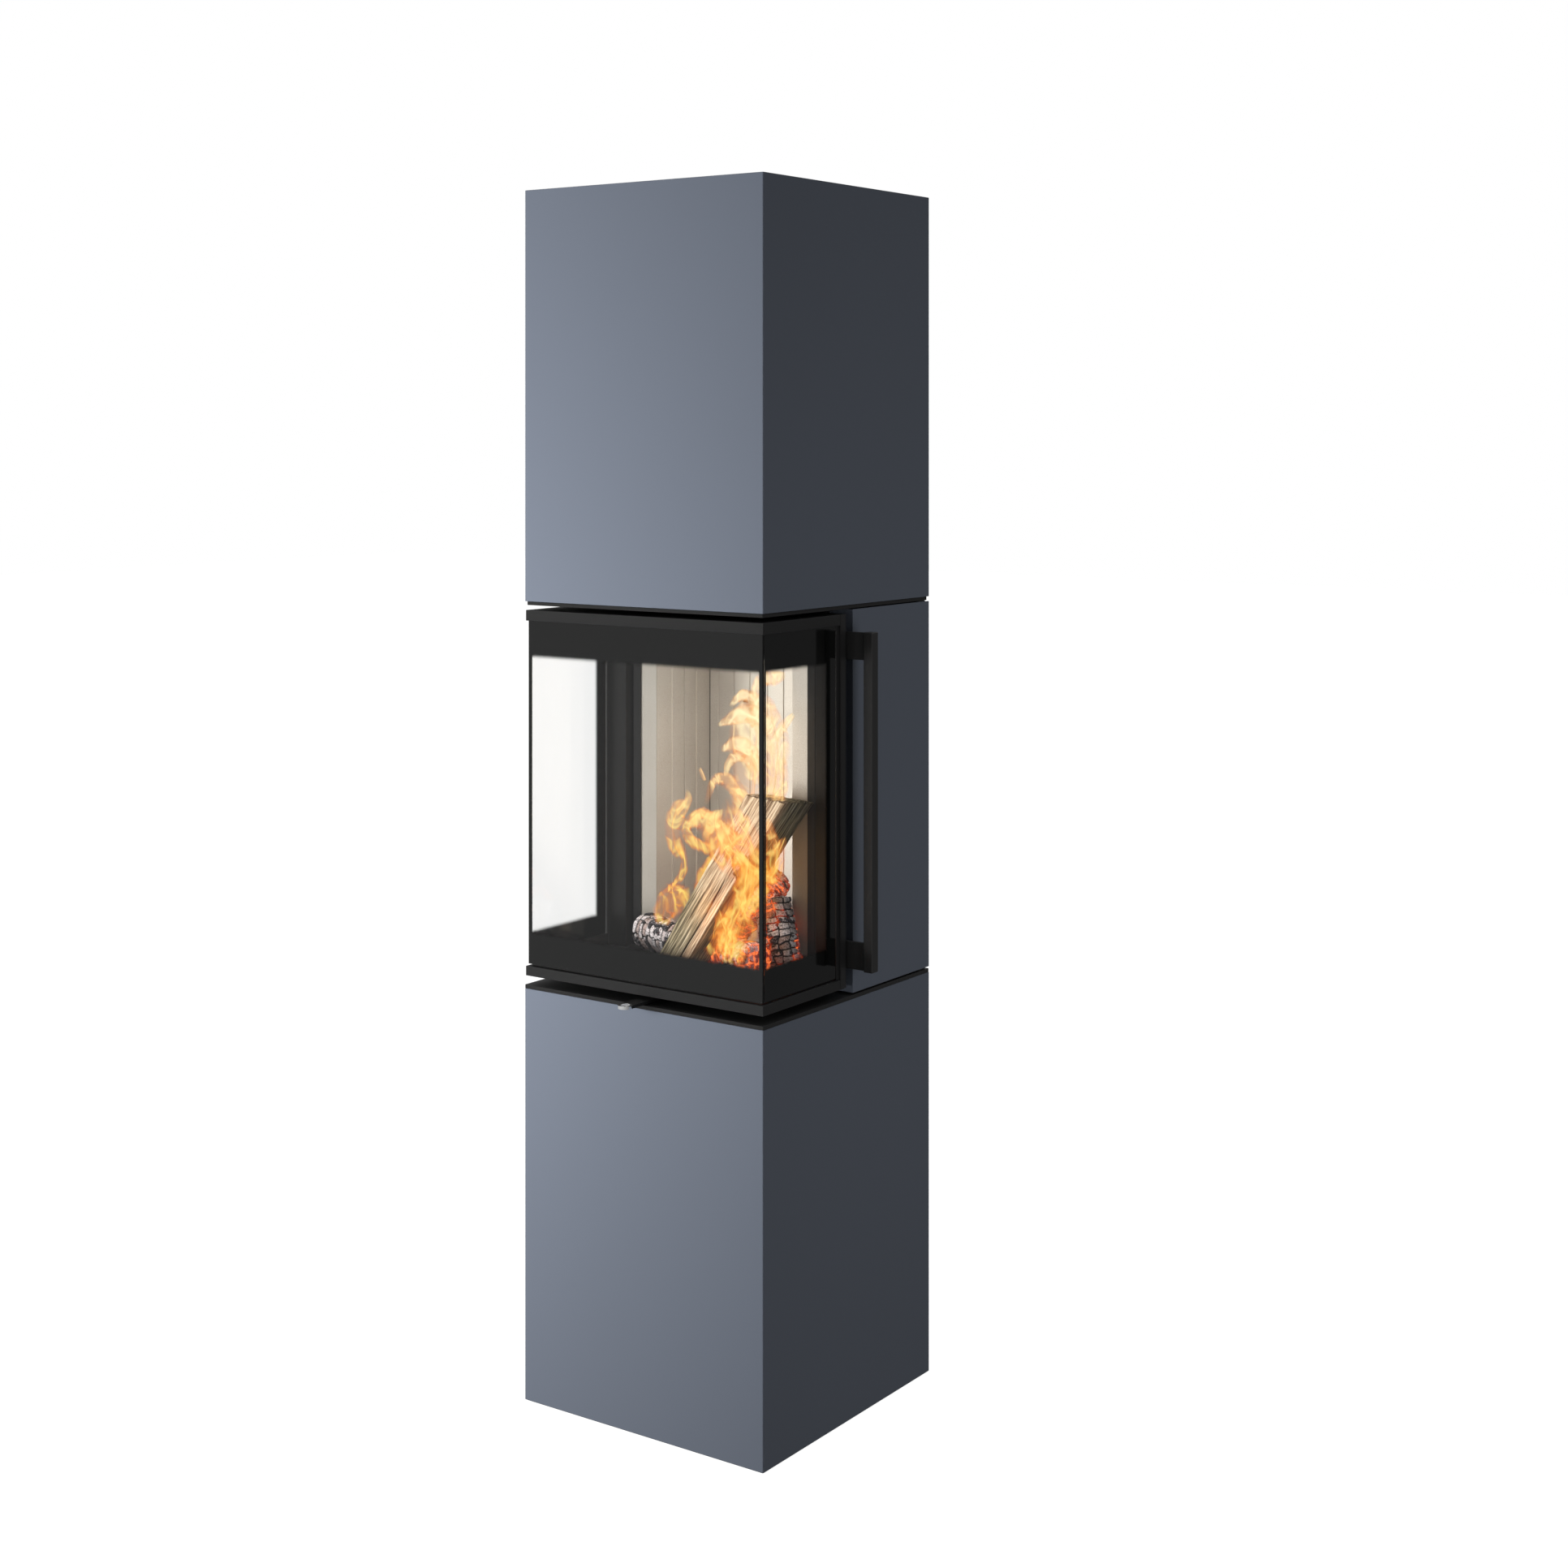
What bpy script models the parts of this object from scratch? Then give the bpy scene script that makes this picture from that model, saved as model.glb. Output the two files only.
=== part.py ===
"""A slim column fireplace with glass on three sides.

A square steel column stands on a pedestal. At eye height a firebox sits between two black plates. A door
of three panes wraps round its front: it turns on two pins at the left rear, and a bar handle at the right
rear turns a latch shaft. A flat lever under the door works the air damper. Sizes are in metres, the origin
is on the floor at the middle of the base, the front faces -Y, and the near right corner is (+X, -Y).
"""

import math

import bmesh
import bpy
from mathutils import Matrix, Vector

# Driving sizes of the column
COLUMN_WIDTH = 0.480
COLUMN_DEPTH = 0.480
FLOOR_GAP = 0.002
LOWER_CASING_HEIGHT = 0.6725
UPPER_CASING_HEIGHT = 0.6722
LOWER_AIR_GAP = 0.0146
UPPER_AIR_GAP = 0.008
DOOR_HEIGHT = 0.5981

# Fits shared by all pieces
FIT = 0.0003
RUNNING_FIT = 0.0001
OVERRUN = 0.004

# Sheet metal
CASING_WALL = 0.003
CASING_ROUND = 0.002
EDGE_SOFTENING = 0.0006
BACK_PANEL_WALL = 0.002
BACK_PANEL_RECESS = 0.008
BASE_PLATE_THICKNESS = 0.004
BLACK_PLATE_THICKNESS = 0.006
UPPER_PLATE_INSET = 0.0025
TOP_PLATE_THICKNESS = 0.003
VENT_SLOT_LENGTH = 0.120
VENT_SLOT_WIDTH = 0.007
VENT_SLOT_PITCH = 0.018
VENT_SLOT_COUNT = 5
VENT_DROP = 0.070

# Pedestal
SUPPORT_LENGTH = 0.190
SUPPORT_FLANGE = 0.025
SUPPORT_WALL = 0.003
SUPPORT_OFFSET = 0.160
SCREW_RADIUS = 0.005
SCREW_LENGTH = 0.045
SCREW_NUT_RADIUS = 0.009
SCREW_NUT_HEIGHT = 0.008
SCREW_INSET = 0.040
DUCT_RADIUS = 0.050
DUCT_WALL = 0.0015
DUCT_FROM_REAR = 0.130
AIR_HOLE_RADIUS = 0.018

# Door frame
FRAME_INSET = 0.0012
RIM_THICKNESS = 0.003
FRAME_BOTTOM_HEIGHT = 0.0158
FRAME_TOP_HEIGHT = 0.0175
FRAME_PLATE = 0.004
FRAME_SIDE_DEPTH = 0.2116
TOP_RAIL_HEIGHT = 0.040
GLASS_THICKNESS = 0.004
GLASS_STAND_OFF = 0.0036
GLASS_TOP_HIDDEN = 0.0128
GLASS_REAR_GAP = 0.003
RETAINER_THICKNESS = 0.002
RETAINER_HEIGHT = 0.0195

# Door stiles, with the pivot at the left one and the latch shaft in the right one
STILE_WIDTH = 0.0458
STILE_DEPTH = 0.0159
STILE_FRONT = 0.0071
STILE_STEP = 0.0033
STILE_INNER_WALL = 0.010
STILE_OUTER_WALL = 0.0073
STILE_FRONT_WALL = 0.004
STILE_END = 0.0166
PIVOT_INSET = 0.0153
PIVOT_FROM_REAR = 0.0095
PIVOT_RADIUS = 0.004
PIVOT_SHOULDER_RADIUS = 0.008
PIVOT_REACH = 0.010

# Seal between the door and the firebox
GASKET_THICKNESS = 0.0019
GASKET_WIDTH = 0.008
GASKET_INSET = 0.001
GASKET_RISE = 0.0016
GASKET_DROP = 0.022

# Handle
HANDLE_BAR_WIDTH = 0.017
HANDLE_BAR_DEPTH = 0.018
HANDLE_BAR_LIFT = 0.0296
HANDLE_BAR_DROP = 0.0275
HANDLE_BAR_BEVEL = 0.0015
HANDLE_STAND_OFF = 0.0342
HANDLE_ARM_HEIGHT = 0.044
HANDLE_ARM_THICKNESS = 0.006
HANDLE_ARM_GAP = 0.004
HANDLE_ARM_END_GAP = 0.001
LATCH_HUB_WALL = 0.0022
LATCH_WEB_HALF = 0.0033
LATCH_FINGER_HALF = 0.0026
LATCH_FINGER_REACH = 0.0235
LATCH_NOSE = 0.0033
LATCH_NOSE_LENGTH = 0.005
LATCH_HOOK_HEIGHT = 0.008
LATCH_HOOK_FROM_ARM = 0.014
KEEPER_HEIGHT = 0.040
KEEPER_THICKNESS = 0.005
KEEPER_GAP = 0.0005
SHAFT_SINK = 0.0115

# Firebox
COLLAR_CLEARANCE = 0.008
COLLAR_REACH = 0.0125
COLLAR_LIP = 0.015
SHELL_WALL = 0.003
SHELL_TOP_GAP = 0.0115
FLANGE_WIDTH = 0.020
HEARTH_CLEARANCE = 0.0018
COLLAR_TOP_CLEARANCE = 0.008
CHAMBER_WIDTH = 0.276
CHAMBER_DEPTH = 0.150
BACK_LINING_THICKNESS = 0.030
GROOVE_WIDTH = 0.004
GROOVE_DEPTH = 0.002
GROOVE_PITCH = 0.0338
BACK_GROOVE_COUNT = 8
SIDE_GROOVE_COUNT = 3
SIDE_GROOVE_START = 0.0437
BAFFLE_THICKNESS = 0.020
BAFFLE_SMOKE_GAP = 0.027
AIR_BOX_HEIGHT = 0.0196
AIR_BOX_HALF = 0.150
LEDGE_THICKNESS = 0.003
LEDGE_FRONT_GAP = 0.030
LEDGE_SWEEP_CLEARANCE = 0.0065
LEDGE_ARC_STEPS = 12
GRATE_SIZE = 0.096
GRATE_LIP = 0.008
GRATE_SLOT = 0.006
GRATE_SLOT_COUNT = 5
GRATE_FRAME = 0.012

# Flue
FLUE_RADIUS = 0.075
FLUE_WALL = 0.002
FLUE_FROM_SHELL_BACK = 0.0885
FLUE_COLLAR_HEIGHT = 0.045
FLUE_HOLE_CLEARANCE = 0.002
FLUE_TOP_SINK = 0.002

# Side panels, rear posts and the shield above the door
PANEL_GAP = 0.018
PANEL_WALL = 0.002
PANEL_RETURN = 0.050
PANEL_LOWER_GAP = 0.0032
PANEL_UPPER_GAP = 0.0015
POST_SIZE = 0.020
SHIELD_THICKNESS = 0.0012
SHIELD_LIP_HEIGHT = 0.004
SHIELD_LIP_HALF = 0.102
SHIELD_FRONT = 0.056
SHIELD_SIDE = 0.0157

# Air lever
LEVER_WIDTH = 0.024
LEVER_THICKNESS = 0.005
LEVER_PROUD = 0.048
LEVER_RING_HOLE = 0.0075
LEVER_RING_PROUD = 0.0002
LEVER_PIVOT_FROM_FLANGE = 0.0435
LEVER_SLOT_HALF = 0.026
LEVER_SLOT_HEIGHT = 0.008
DAMPER_THICKNESS = 0.0012
DAMPER_HALF = 0.045
DAMPER_MARGIN = 0.015
DAMPER_TRAVEL_DEGREES = 12.0

# Logs. Their ends are shares of the chamber's half width and the hearth's depth, and of the clear height
LOG_SIDES = 9
LOG_ROUGHNESS_SHARE = 0.07
LOG_FOOT_SHARES = {
    "log_lying": (-0.974, 0.464),
    "log_leaning": (0.268, 0.070),
    "log_crossing": (-0.195, 0.683),
    "log_corner": (1.154, 0.418),
}
LOG_HEAD_SHARES = {
    "log_lying": (1.127, 0.192),
    "log_leaning": (1.080, 0.433),
    "log_crossing": (0.560, 0.665),
    "log_corner": (0.871, 0.474),
}
LOG_RISE_SHARES = {"log_lying": 0.0, "log_leaning": 0.467, "log_crossing": 0.195, "log_corner": 0.166}
LOG_RADIUS_SHARES = {"log_lying": 0.218, "log_leaning": 0.360, "log_crossing": 0.239, "log_corner": 0.210}
SPLIT_LOG_SIDES = 18
SPLIT_FACES = {125.0: 0.55, 215.0: 0.62, 315.0: 0.55}
SPLIT_FOOT_SHARE = 0.74
SPLIT_END_SLANT = 0.475

# Places worked out from the sizes above
HALF_WIDTH = COLUMN_WIDTH / 2
FRONT_Y = -COLUMN_DEPTH / 2
REAR_Y = COLUMN_DEPTH / 2
LOWER_TOP = FLOOR_GAP + LOWER_CASING_HEIGHT
LOWER_PLATE_Z = LOWER_TOP + FIT
LOWER_PLATE_TOP = LOWER_PLATE_Z + BLACK_PLATE_THICKNESS
DOOR_Z = LOWER_PLATE_TOP + LOWER_AIR_GAP
DOOR_TOP = DOOR_Z + DOOR_HEIGHT
UPPER_PLATE_Z = DOOR_TOP + UPPER_AIR_GAP
UPPER_PLATE_TOP = UPPER_PLATE_Z + BLACK_PLATE_THICKNESS
UPPER_CASING_Z = UPPER_PLATE_TOP + FIT
COLUMN_TOP = UPPER_CASING_Z + UPPER_CASING_HEIGHT
BACK_PANEL_Y = REAR_Y - BACK_PANEL_RECESS - BACK_PANEL_WALL
CASING_INNER_HALF = HALF_WIDTH - CASING_WALL - FIT

FRAME_HALF = HALF_WIDTH - FRAME_INSET
FRAME_FRONT_Y = FRONT_Y + FRAME_INSET
FRAME_BACK_Y = FRAME_FRONT_Y + FRAME_SIDE_DEPTH
STILE_Y = FRAME_BACK_Y + FIT
STILE_BACK_Y = STILE_Y + STILE_DEPTH
STILE_FACE_Y = STILE_Y - STILE_FRONT
STILE_INNER = FRAME_HALF - STILE_WIDTH
FRAME_BOTTOM_TOP = DOOR_Z + FRAME_BOTTOM_HEIGHT
FRAME_TOP_Z = DOOR_TOP - FRAME_TOP_HEIGHT
GLASS_HALF = FRAME_HALF - RIM_THICKNESS - FIT
GLASS_FRONT_Y = FRAME_FRONT_Y + RIM_THICKNESS + FIT
GLASS_BACK_Y = GLASS_FRONT_Y + GLASS_THICKNESS
GLASS_REAR_Y = STILE_FACE_Y - GLASS_REAR_GAP
GLASS_Z = FRAME_BOTTOM_TOP + GLASS_STAND_OFF
GLASS_TOP = FRAME_TOP_Z + GLASS_TOP_HIDDEN
PIVOT_X = FRAME_HALF - PIVOT_INSET
PIVOT_Y = STILE_BACK_Y - PIVOT_FROM_REAR

SHELL_HALF = STILE_INNER - COLLAR_CLEARANCE
FLANGE_Y = STILE_BACK_Y + GASKET_THICKNESS + 2 * FIT
SHELL_FRONT_Y = FLANGE_Y + SHELL_WALL
COLLAR_Y = STILE_BACK_Y - COLLAR_REACH
LINING_Y = COLLAR_Y + SHELL_WALL + FIT
BACK_LINING_Y = LINING_Y + CHAMBER_DEPTH
SHELL_BACK_Y = BACK_LINING_Y + BACK_LINING_THICKNESS + FIT + SHELL_WALL
SHELL_Z = LOWER_PLATE_TOP + AIR_BOX_HEIGHT + 2 * FIT
SHELL_TOP = UPPER_PLATE_Z - SHELL_TOP_GAP
LINING_HALF = SHELL_HALF - SHELL_WALL - FIT
CHAMBER_HALF = CHAMBER_WIDTH / 2
HEARTH_Z = FRAME_BOTTOM_TOP + HEARTH_CLEARANCE
HEARTH_TOP = HEARTH_Z + SHELL_WALL
COLLAR_TOP = FRAME_TOP_Z - TOP_RAIL_HEIGHT - COLLAR_TOP_CLEARANCE
LINING_TOP = COLLAR_TOP - SHELL_WALL - FIT
LEDGE_Y = FRONT_Y + LEDGE_FRONT_GAP
HEARTH_DEPTH = BACK_LINING_Y - LEDGE_Y
GRATE_Y = (SHELL_FRONT_Y + BACK_LINING_Y) / 2
FLUE_Y = SHELL_BACK_Y - FLUE_FROM_SHELL_BACK
DUCT_Y = REAR_Y - DUCT_FROM_REAR
LEVER_PIVOT_Y = FLANGE_Y + LEVER_PIVOT_FROM_FLANGE
LEVER_Z = LOWER_PLATE_TOP + DAMPER_THICKNESS + 2 * FIT
LEVER_RING_Y = FRONT_Y - LEVER_PROUD + LEVER_WIDTH / 2
PANEL_Y = STILE_BACK_Y + PANEL_GAP


# Finishes, with colours in linear values
def finish(name, colour, roughness, metallic=0.0):
    material = bpy.data.materials.new(name)
    material.use_nodes = True
    shader = material.node_tree.nodes["Principled BSDF"]
    shader.inputs["Base Color"].default_value = (*colour, 1.0)
    shader.inputs["Roughness"].default_value = roughness
    shader.inputs["Metallic"].default_value = metallic
    material.diffuse_color = (*colour, 1.0)
    return material


def make_finishes():
    glass = finish("clear_glass", (0.80, 0.82, 0.82), 0.03)
    glass.node_tree.nodes["Principled BSDF"].inputs["Transmission Weight"].default_value = 0.95
    return {
        "casing": finish("blue_grey_paint", (0.150, 0.175, 0.215), 0.55),
        "black": finish("black_stove_paint", (0.018, 0.019, 0.019), 0.55),
        "steel": finish("zinc_steel", (0.42, 0.42, 0.41), 0.40, 0.9),
        "iron": finish("cast_iron", (0.035, 0.034, 0.033), 0.70, 0.6),
        "glass": glass,
        "lining": finish("vermiculite", (0.46, 0.40, 0.32), 0.92),
        "gasket": finish("woven_gasket", (0.055, 0.054, 0.052), 0.95),
        "chrome": finish("polished_chrome", (0.80, 0.80, 0.80), 0.08, 1.0),
        "wood": finish("split_wood", (0.30, 0.25, 0.16), 0.85),
        "char": finish("charred_wood", (0.10, 0.085, 0.075), 0.90),
    }


# Shapes
def add_box(bm, low, high):
    centre = (Vector(low) + Vector(high)) / 2
    size = Vector(high) - Vector(low)
    bmesh.ops.create_cube(bm, size=1.0, matrix=Matrix.Translation(centre) @ Matrix.Diagonal((*size, 1.0)))


def add_prism(bm, outline, low, high):
    corners = [bm.verts.new((x, y, low)) for x, y in outline]
    base = bm.faces.new(corners)
    grown = bmesh.ops.extrude_face_region(bm, geom=[base])
    raised = [item for item in grown["geom"] if isinstance(item, bmesh.types.BMVert)]
    bmesh.ops.translate(bm, vec=(0, 0, high - low), verts=raised)
    bmesh.ops.recalc_face_normals(bm, faces=bm.faces)


def add_cylinder(bm, x, y, radius, low, high, sides=32):
    middle = Matrix.Translation((x, y, (low + high) / 2))
    bmesh.ops.create_cone(
        bm, cap_ends=True, segments=sides, radius1=radius, radius2=radius, depth=high - low, matrix=middle
    )


def rounded(points, radius, steps=4):
    """The outline with an arc of that radius at each corner that turns outwards and has room for it."""
    result = []
    count = len(points)
    for index, point in enumerate(points):
        corner = Vector(point)
        back = Vector(points[index - 1]) - corner
        ahead = Vector(points[(index + 1) % count]) - corner
        turns_outwards = back.normalized().cross(ahead.normalized()) < 0
        if not turns_outwards or min(back.length, ahead.length) < 2 * radius:
            result.append(point)
            continue
        start = corner + back.normalized() * radius
        centre = start + ahead.normalized() * radius
        first = math.atan2(start.y - centre.y, start.x - centre.x)
        for step in range(steps + 1):
            angle = first + math.pi / 2 * step / steps
            result.append((centre.x + radius * math.cos(angle), centre.y + radius * math.sin(angle)))
    return result


def rectangle(half, front, back):
    return [(-half, front), (half, front), (half, back), (-half, back)]


def channel(half, front, back, wall):
    """A sheet bent twice: a front wall and two side walls, open at the back."""
    inner = half - wall
    return [
        (-half, back), (-half, front), (half, front), (half, back),
        (inner, back), (inner, front + wall), (-inner, front + wall), (-inner, back),
    ]  # fmt: skip


def bmesh_of(build, *args):
    bm = bmesh.new()
    build(bm, *args)
    return bm


def smooth_round(mesh):
    mesh.shade_smooth()
    mesh.set_sharp_from_angle(angle=math.radians(35))


def make(name, bm, material, group=None, adds=(), cuts=(), soften=0.0):
    """One piece: its mesh, the parts welded to it, the cuts through it and its softened edges."""
    mesh = bpy.data.meshes.new(name)
    low = Vector([min(v.co[axis] for v in bm.verts) for axis in range(3)])
    high = Vector([max(v.co[axis] for v in bm.verts) for axis in range(3)])
    origin = Vector(((low.x + high.x) / 2, (low.y + high.y) / 2, low.z))
    bmesh.ops.translate(bm, vec=-origin, verts=bm.verts)
    bm.to_mesh(mesh)
    bm.free()
    smooth_round(mesh)
    mesh.materials.append(material)
    piece = bpy.data.objects.new(name, mesh)
    bpy.context.scene.collection.objects.link(piece)
    if group is None:
        piece.location = origin
    else:
        piece.parent = group
        piece.location = origin - group.location
    for kind, tools in (("UNION", adds), ("DIFFERENCE", cuts)):
        for number, tool_bm in enumerate(tools):
            tool = hidden_tool(f"{name}_{kind.lower()}_{number + 1}", tool_bm)
            step = piece.modifiers.new(tool.name, "BOOLEAN")
            step.operation = kind
            step.solver = "EXACT"
            step.object = tool
    if soften:
        edge = piece.modifiers.new("softened_edges", "BEVEL")
        edge.width = soften
        edge.segments = 2
        edge.limit_method = "ANGLE"
        edge.angle_limit = math.radians(50)
    return piece


def hidden_tool(name, bm):
    mesh = bpy.data.meshes.new(name)
    bm.to_mesh(mesh)
    bm.free()
    tool = bpy.data.objects.new(name, mesh)
    tool.hide_render = True
    tool.display_type = "WIRE"
    bpy.context.scene.collection.objects.link(tool)
    return tool


def box_mesh(low, high):
    return bmesh_of(add_box, low, high)


def prism_mesh(outline, low, high):
    return bmesh_of(add_prism, outline, low, high)


def rod_mesh(x, y, radius, low, high, sides=32):
    return bmesh_of(add_cylinder, x, y, radius, low, high, sides)


def boxes_mesh(boxes):
    bm = bmesh.new()
    for low, high in boxes:
        add_box(bm, low, high)
    return bm


def axis_at(name, x, y, z):
    empty = bpy.data.objects.new(name, None)
    empty.location = (x, y, z)
    bpy.context.scene.collection.objects.link(empty)
    return empty


def mirrored(outline):
    return [(-x, y) for x, y in reversed(outline)]


def vent_slots(middle_x, middle_z, y):
    """A stack of level slots through an upright panel."""
    slots = []
    for number in range(VENT_SLOT_COUNT):
        z = middle_z - (number - (VENT_SLOT_COUNT - 1) / 2) * VENT_SLOT_PITCH
        slots.append((
            (middle_x - VENT_SLOT_LENGTH / 2, y - OVERRUN, z - VENT_SLOT_WIDTH / 2),
            (middle_x + VENT_SLOT_LENGTH / 2, y + BACK_PANEL_WALL + OVERRUN, z + VENT_SLOT_WIDTH / 2),
        ))
    return boxes_mesh(slots)


# The pedestal: base plate, levelling screws, supports, intake duct, casing and back panel
def make_pedestal(looks):
    back = BACK_PANEL_Y - FIT
    front = FRONT_Y + CASING_WALL + FIT
    screws = [
        (x, y)
        for x in (-CASING_INNER_HALF + SCREW_INSET, CASING_INNER_HALF - SCREW_INSET)
        for y in (front + SCREW_INSET, back - SCREW_INSET)
    ]
    holes = bmesh.new()
    for x, y in screws:
        add_cylinder(holes, x, y, SCREW_RADIUS + FIT, -OVERRUN, BASE_PLATE_THICKNESS + OVERRUN, 16)
    add_cylinder(holes, 0, DUCT_Y, DUCT_RADIUS - 2 * DUCT_WALL, -OVERRUN, BASE_PLATE_THICKNESS + OVERRUN)
    plate = prism_mesh(rectangle(CASING_INNER_HALF, front, back), 0, BASE_PLATE_THICKNESS)
    make("base_plate", plate, looks["black"], cuts=[holes])

    seat = BASE_PLATE_THICKNESS + FIT
    for number, (x, y) in enumerate(screws):
        screw = rod_mesh(x, y, SCREW_RADIUS, FIT, SCREW_LENGTH, 16)
        nut = rod_mesh(x, y, SCREW_NUT_RADIUS, seat, seat + SCREW_NUT_HEIGHT, 6)
        make(f"levelling_screw_{number + 1}", screw, looks["steel"], adds=[nut])

    flange = SUPPORT_OFFSET + SUPPORT_FLANGE
    half = SUPPORT_LENGTH / 2
    section = [
        (SUPPORT_OFFSET, -half), (flange, -half), (flange, -half + SUPPORT_WALL),
        (SUPPORT_OFFSET + SUPPORT_WALL, -half + SUPPORT_WALL),
        (SUPPORT_OFFSET + SUPPORT_WALL, half - SUPPORT_WALL), (flange, half - SUPPORT_WALL),
        (flange, half), (SUPPORT_OFFSET, half),
    ]  # fmt: skip
    make("pedestal_support_right", prism_mesh(section, seat, LOWER_TOP), looks["black"])
    make("pedestal_support_left", prism_mesh(mirrored(section), seat, LOWER_TOP), looks["black"])

    duct = rod_mesh(0, DUCT_Y, DUCT_RADIUS, seat, LOWER_TOP)
    bore = rod_mesh(0, DUCT_Y, DUCT_RADIUS - DUCT_WALL, -OVERRUN, LOWER_TOP + OVERRUN)
    make("air_intake_duct", duct, looks["steel"], cuts=[bore])

    sheet = rounded(channel(HALF_WIDTH, FRONT_Y, REAR_Y, CASING_WALL), CASING_ROUND)
    make("lower_casing", prism_mesh(sheet, FLOOR_GAP, LOWER_TOP), looks["casing"], soften=EDGE_SOFTENING)
    panel = box_mesh(
        (-CASING_INNER_HALF, BACK_PANEL_Y, FLOOR_GAP),
        (CASING_INNER_HALF, BACK_PANEL_Y + BACK_PANEL_WALL, LOWER_TOP),
    )
    slots = vent_slots(0, LOWER_TOP - VENT_DROP, BACK_PANEL_Y)
    make("lower_back_panel", panel, looks["casing"], cuts=[slots])


# The black plate on the pedestal and the box that spreads the air under the firebox
def make_air_box(looks):
    slot_y = (SHELL_BACK_Y + BACK_PANEL_Y) / 2
    openings = bmesh.new()
    add_cylinder(openings, 0, DUCT_Y, AIR_HOLE_RADIUS, LOWER_PLATE_Z - OVERRUN, LOWER_PLATE_TOP + OVERRUN)
    add_box(
        openings,
        (-VENT_SLOT_LENGTH, slot_y - VENT_SLOT_PITCH, LOWER_PLATE_Z - OVERRUN),
        (VENT_SLOT_LENGTH, slot_y + VENT_SLOT_PITCH, LOWER_PLATE_TOP + OVERRUN),
    )
    outline = rounded(rectangle(HALF_WIDTH, FRONT_Y, REAR_Y), CASING_ROUND)
    plate = prism_mesh(outline, LOWER_PLATE_Z, LOWER_PLATE_TOP)
    make("lower_plate", plate, looks["black"], cuts=[openings], soften=EDGE_SOFTENING)

    low = LOWER_PLATE_TOP + FIT
    high = low + AIR_BOX_HEIGHT - FIT
    front = SHELL_FRONT_Y + FIT
    back = SHELL_BACK_Y - SHELL_WALL
    ring = prism_mesh(rectangle(AIR_BOX_HALF, front, back), low, high)
    hollow = box_mesh(
        (-AIR_BOX_HALF + SHELL_WALL, front + SHELL_WALL, low - OVERRUN),
        (AIR_BOX_HALF - SHELL_WALL, back - SHELL_WALL, high + OVERRUN),
    )
    slot = box_mesh(
        (-LEVER_SLOT_HALF, front - OVERRUN, low - OVERRUN),
        (LEVER_SLOT_HALF, front + SHELL_WALL + FIT, low + LEVER_SLOT_HEIGHT),
    )
    make("air_box", ring, looks["black"], cuts=[hollow, slot])


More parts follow.
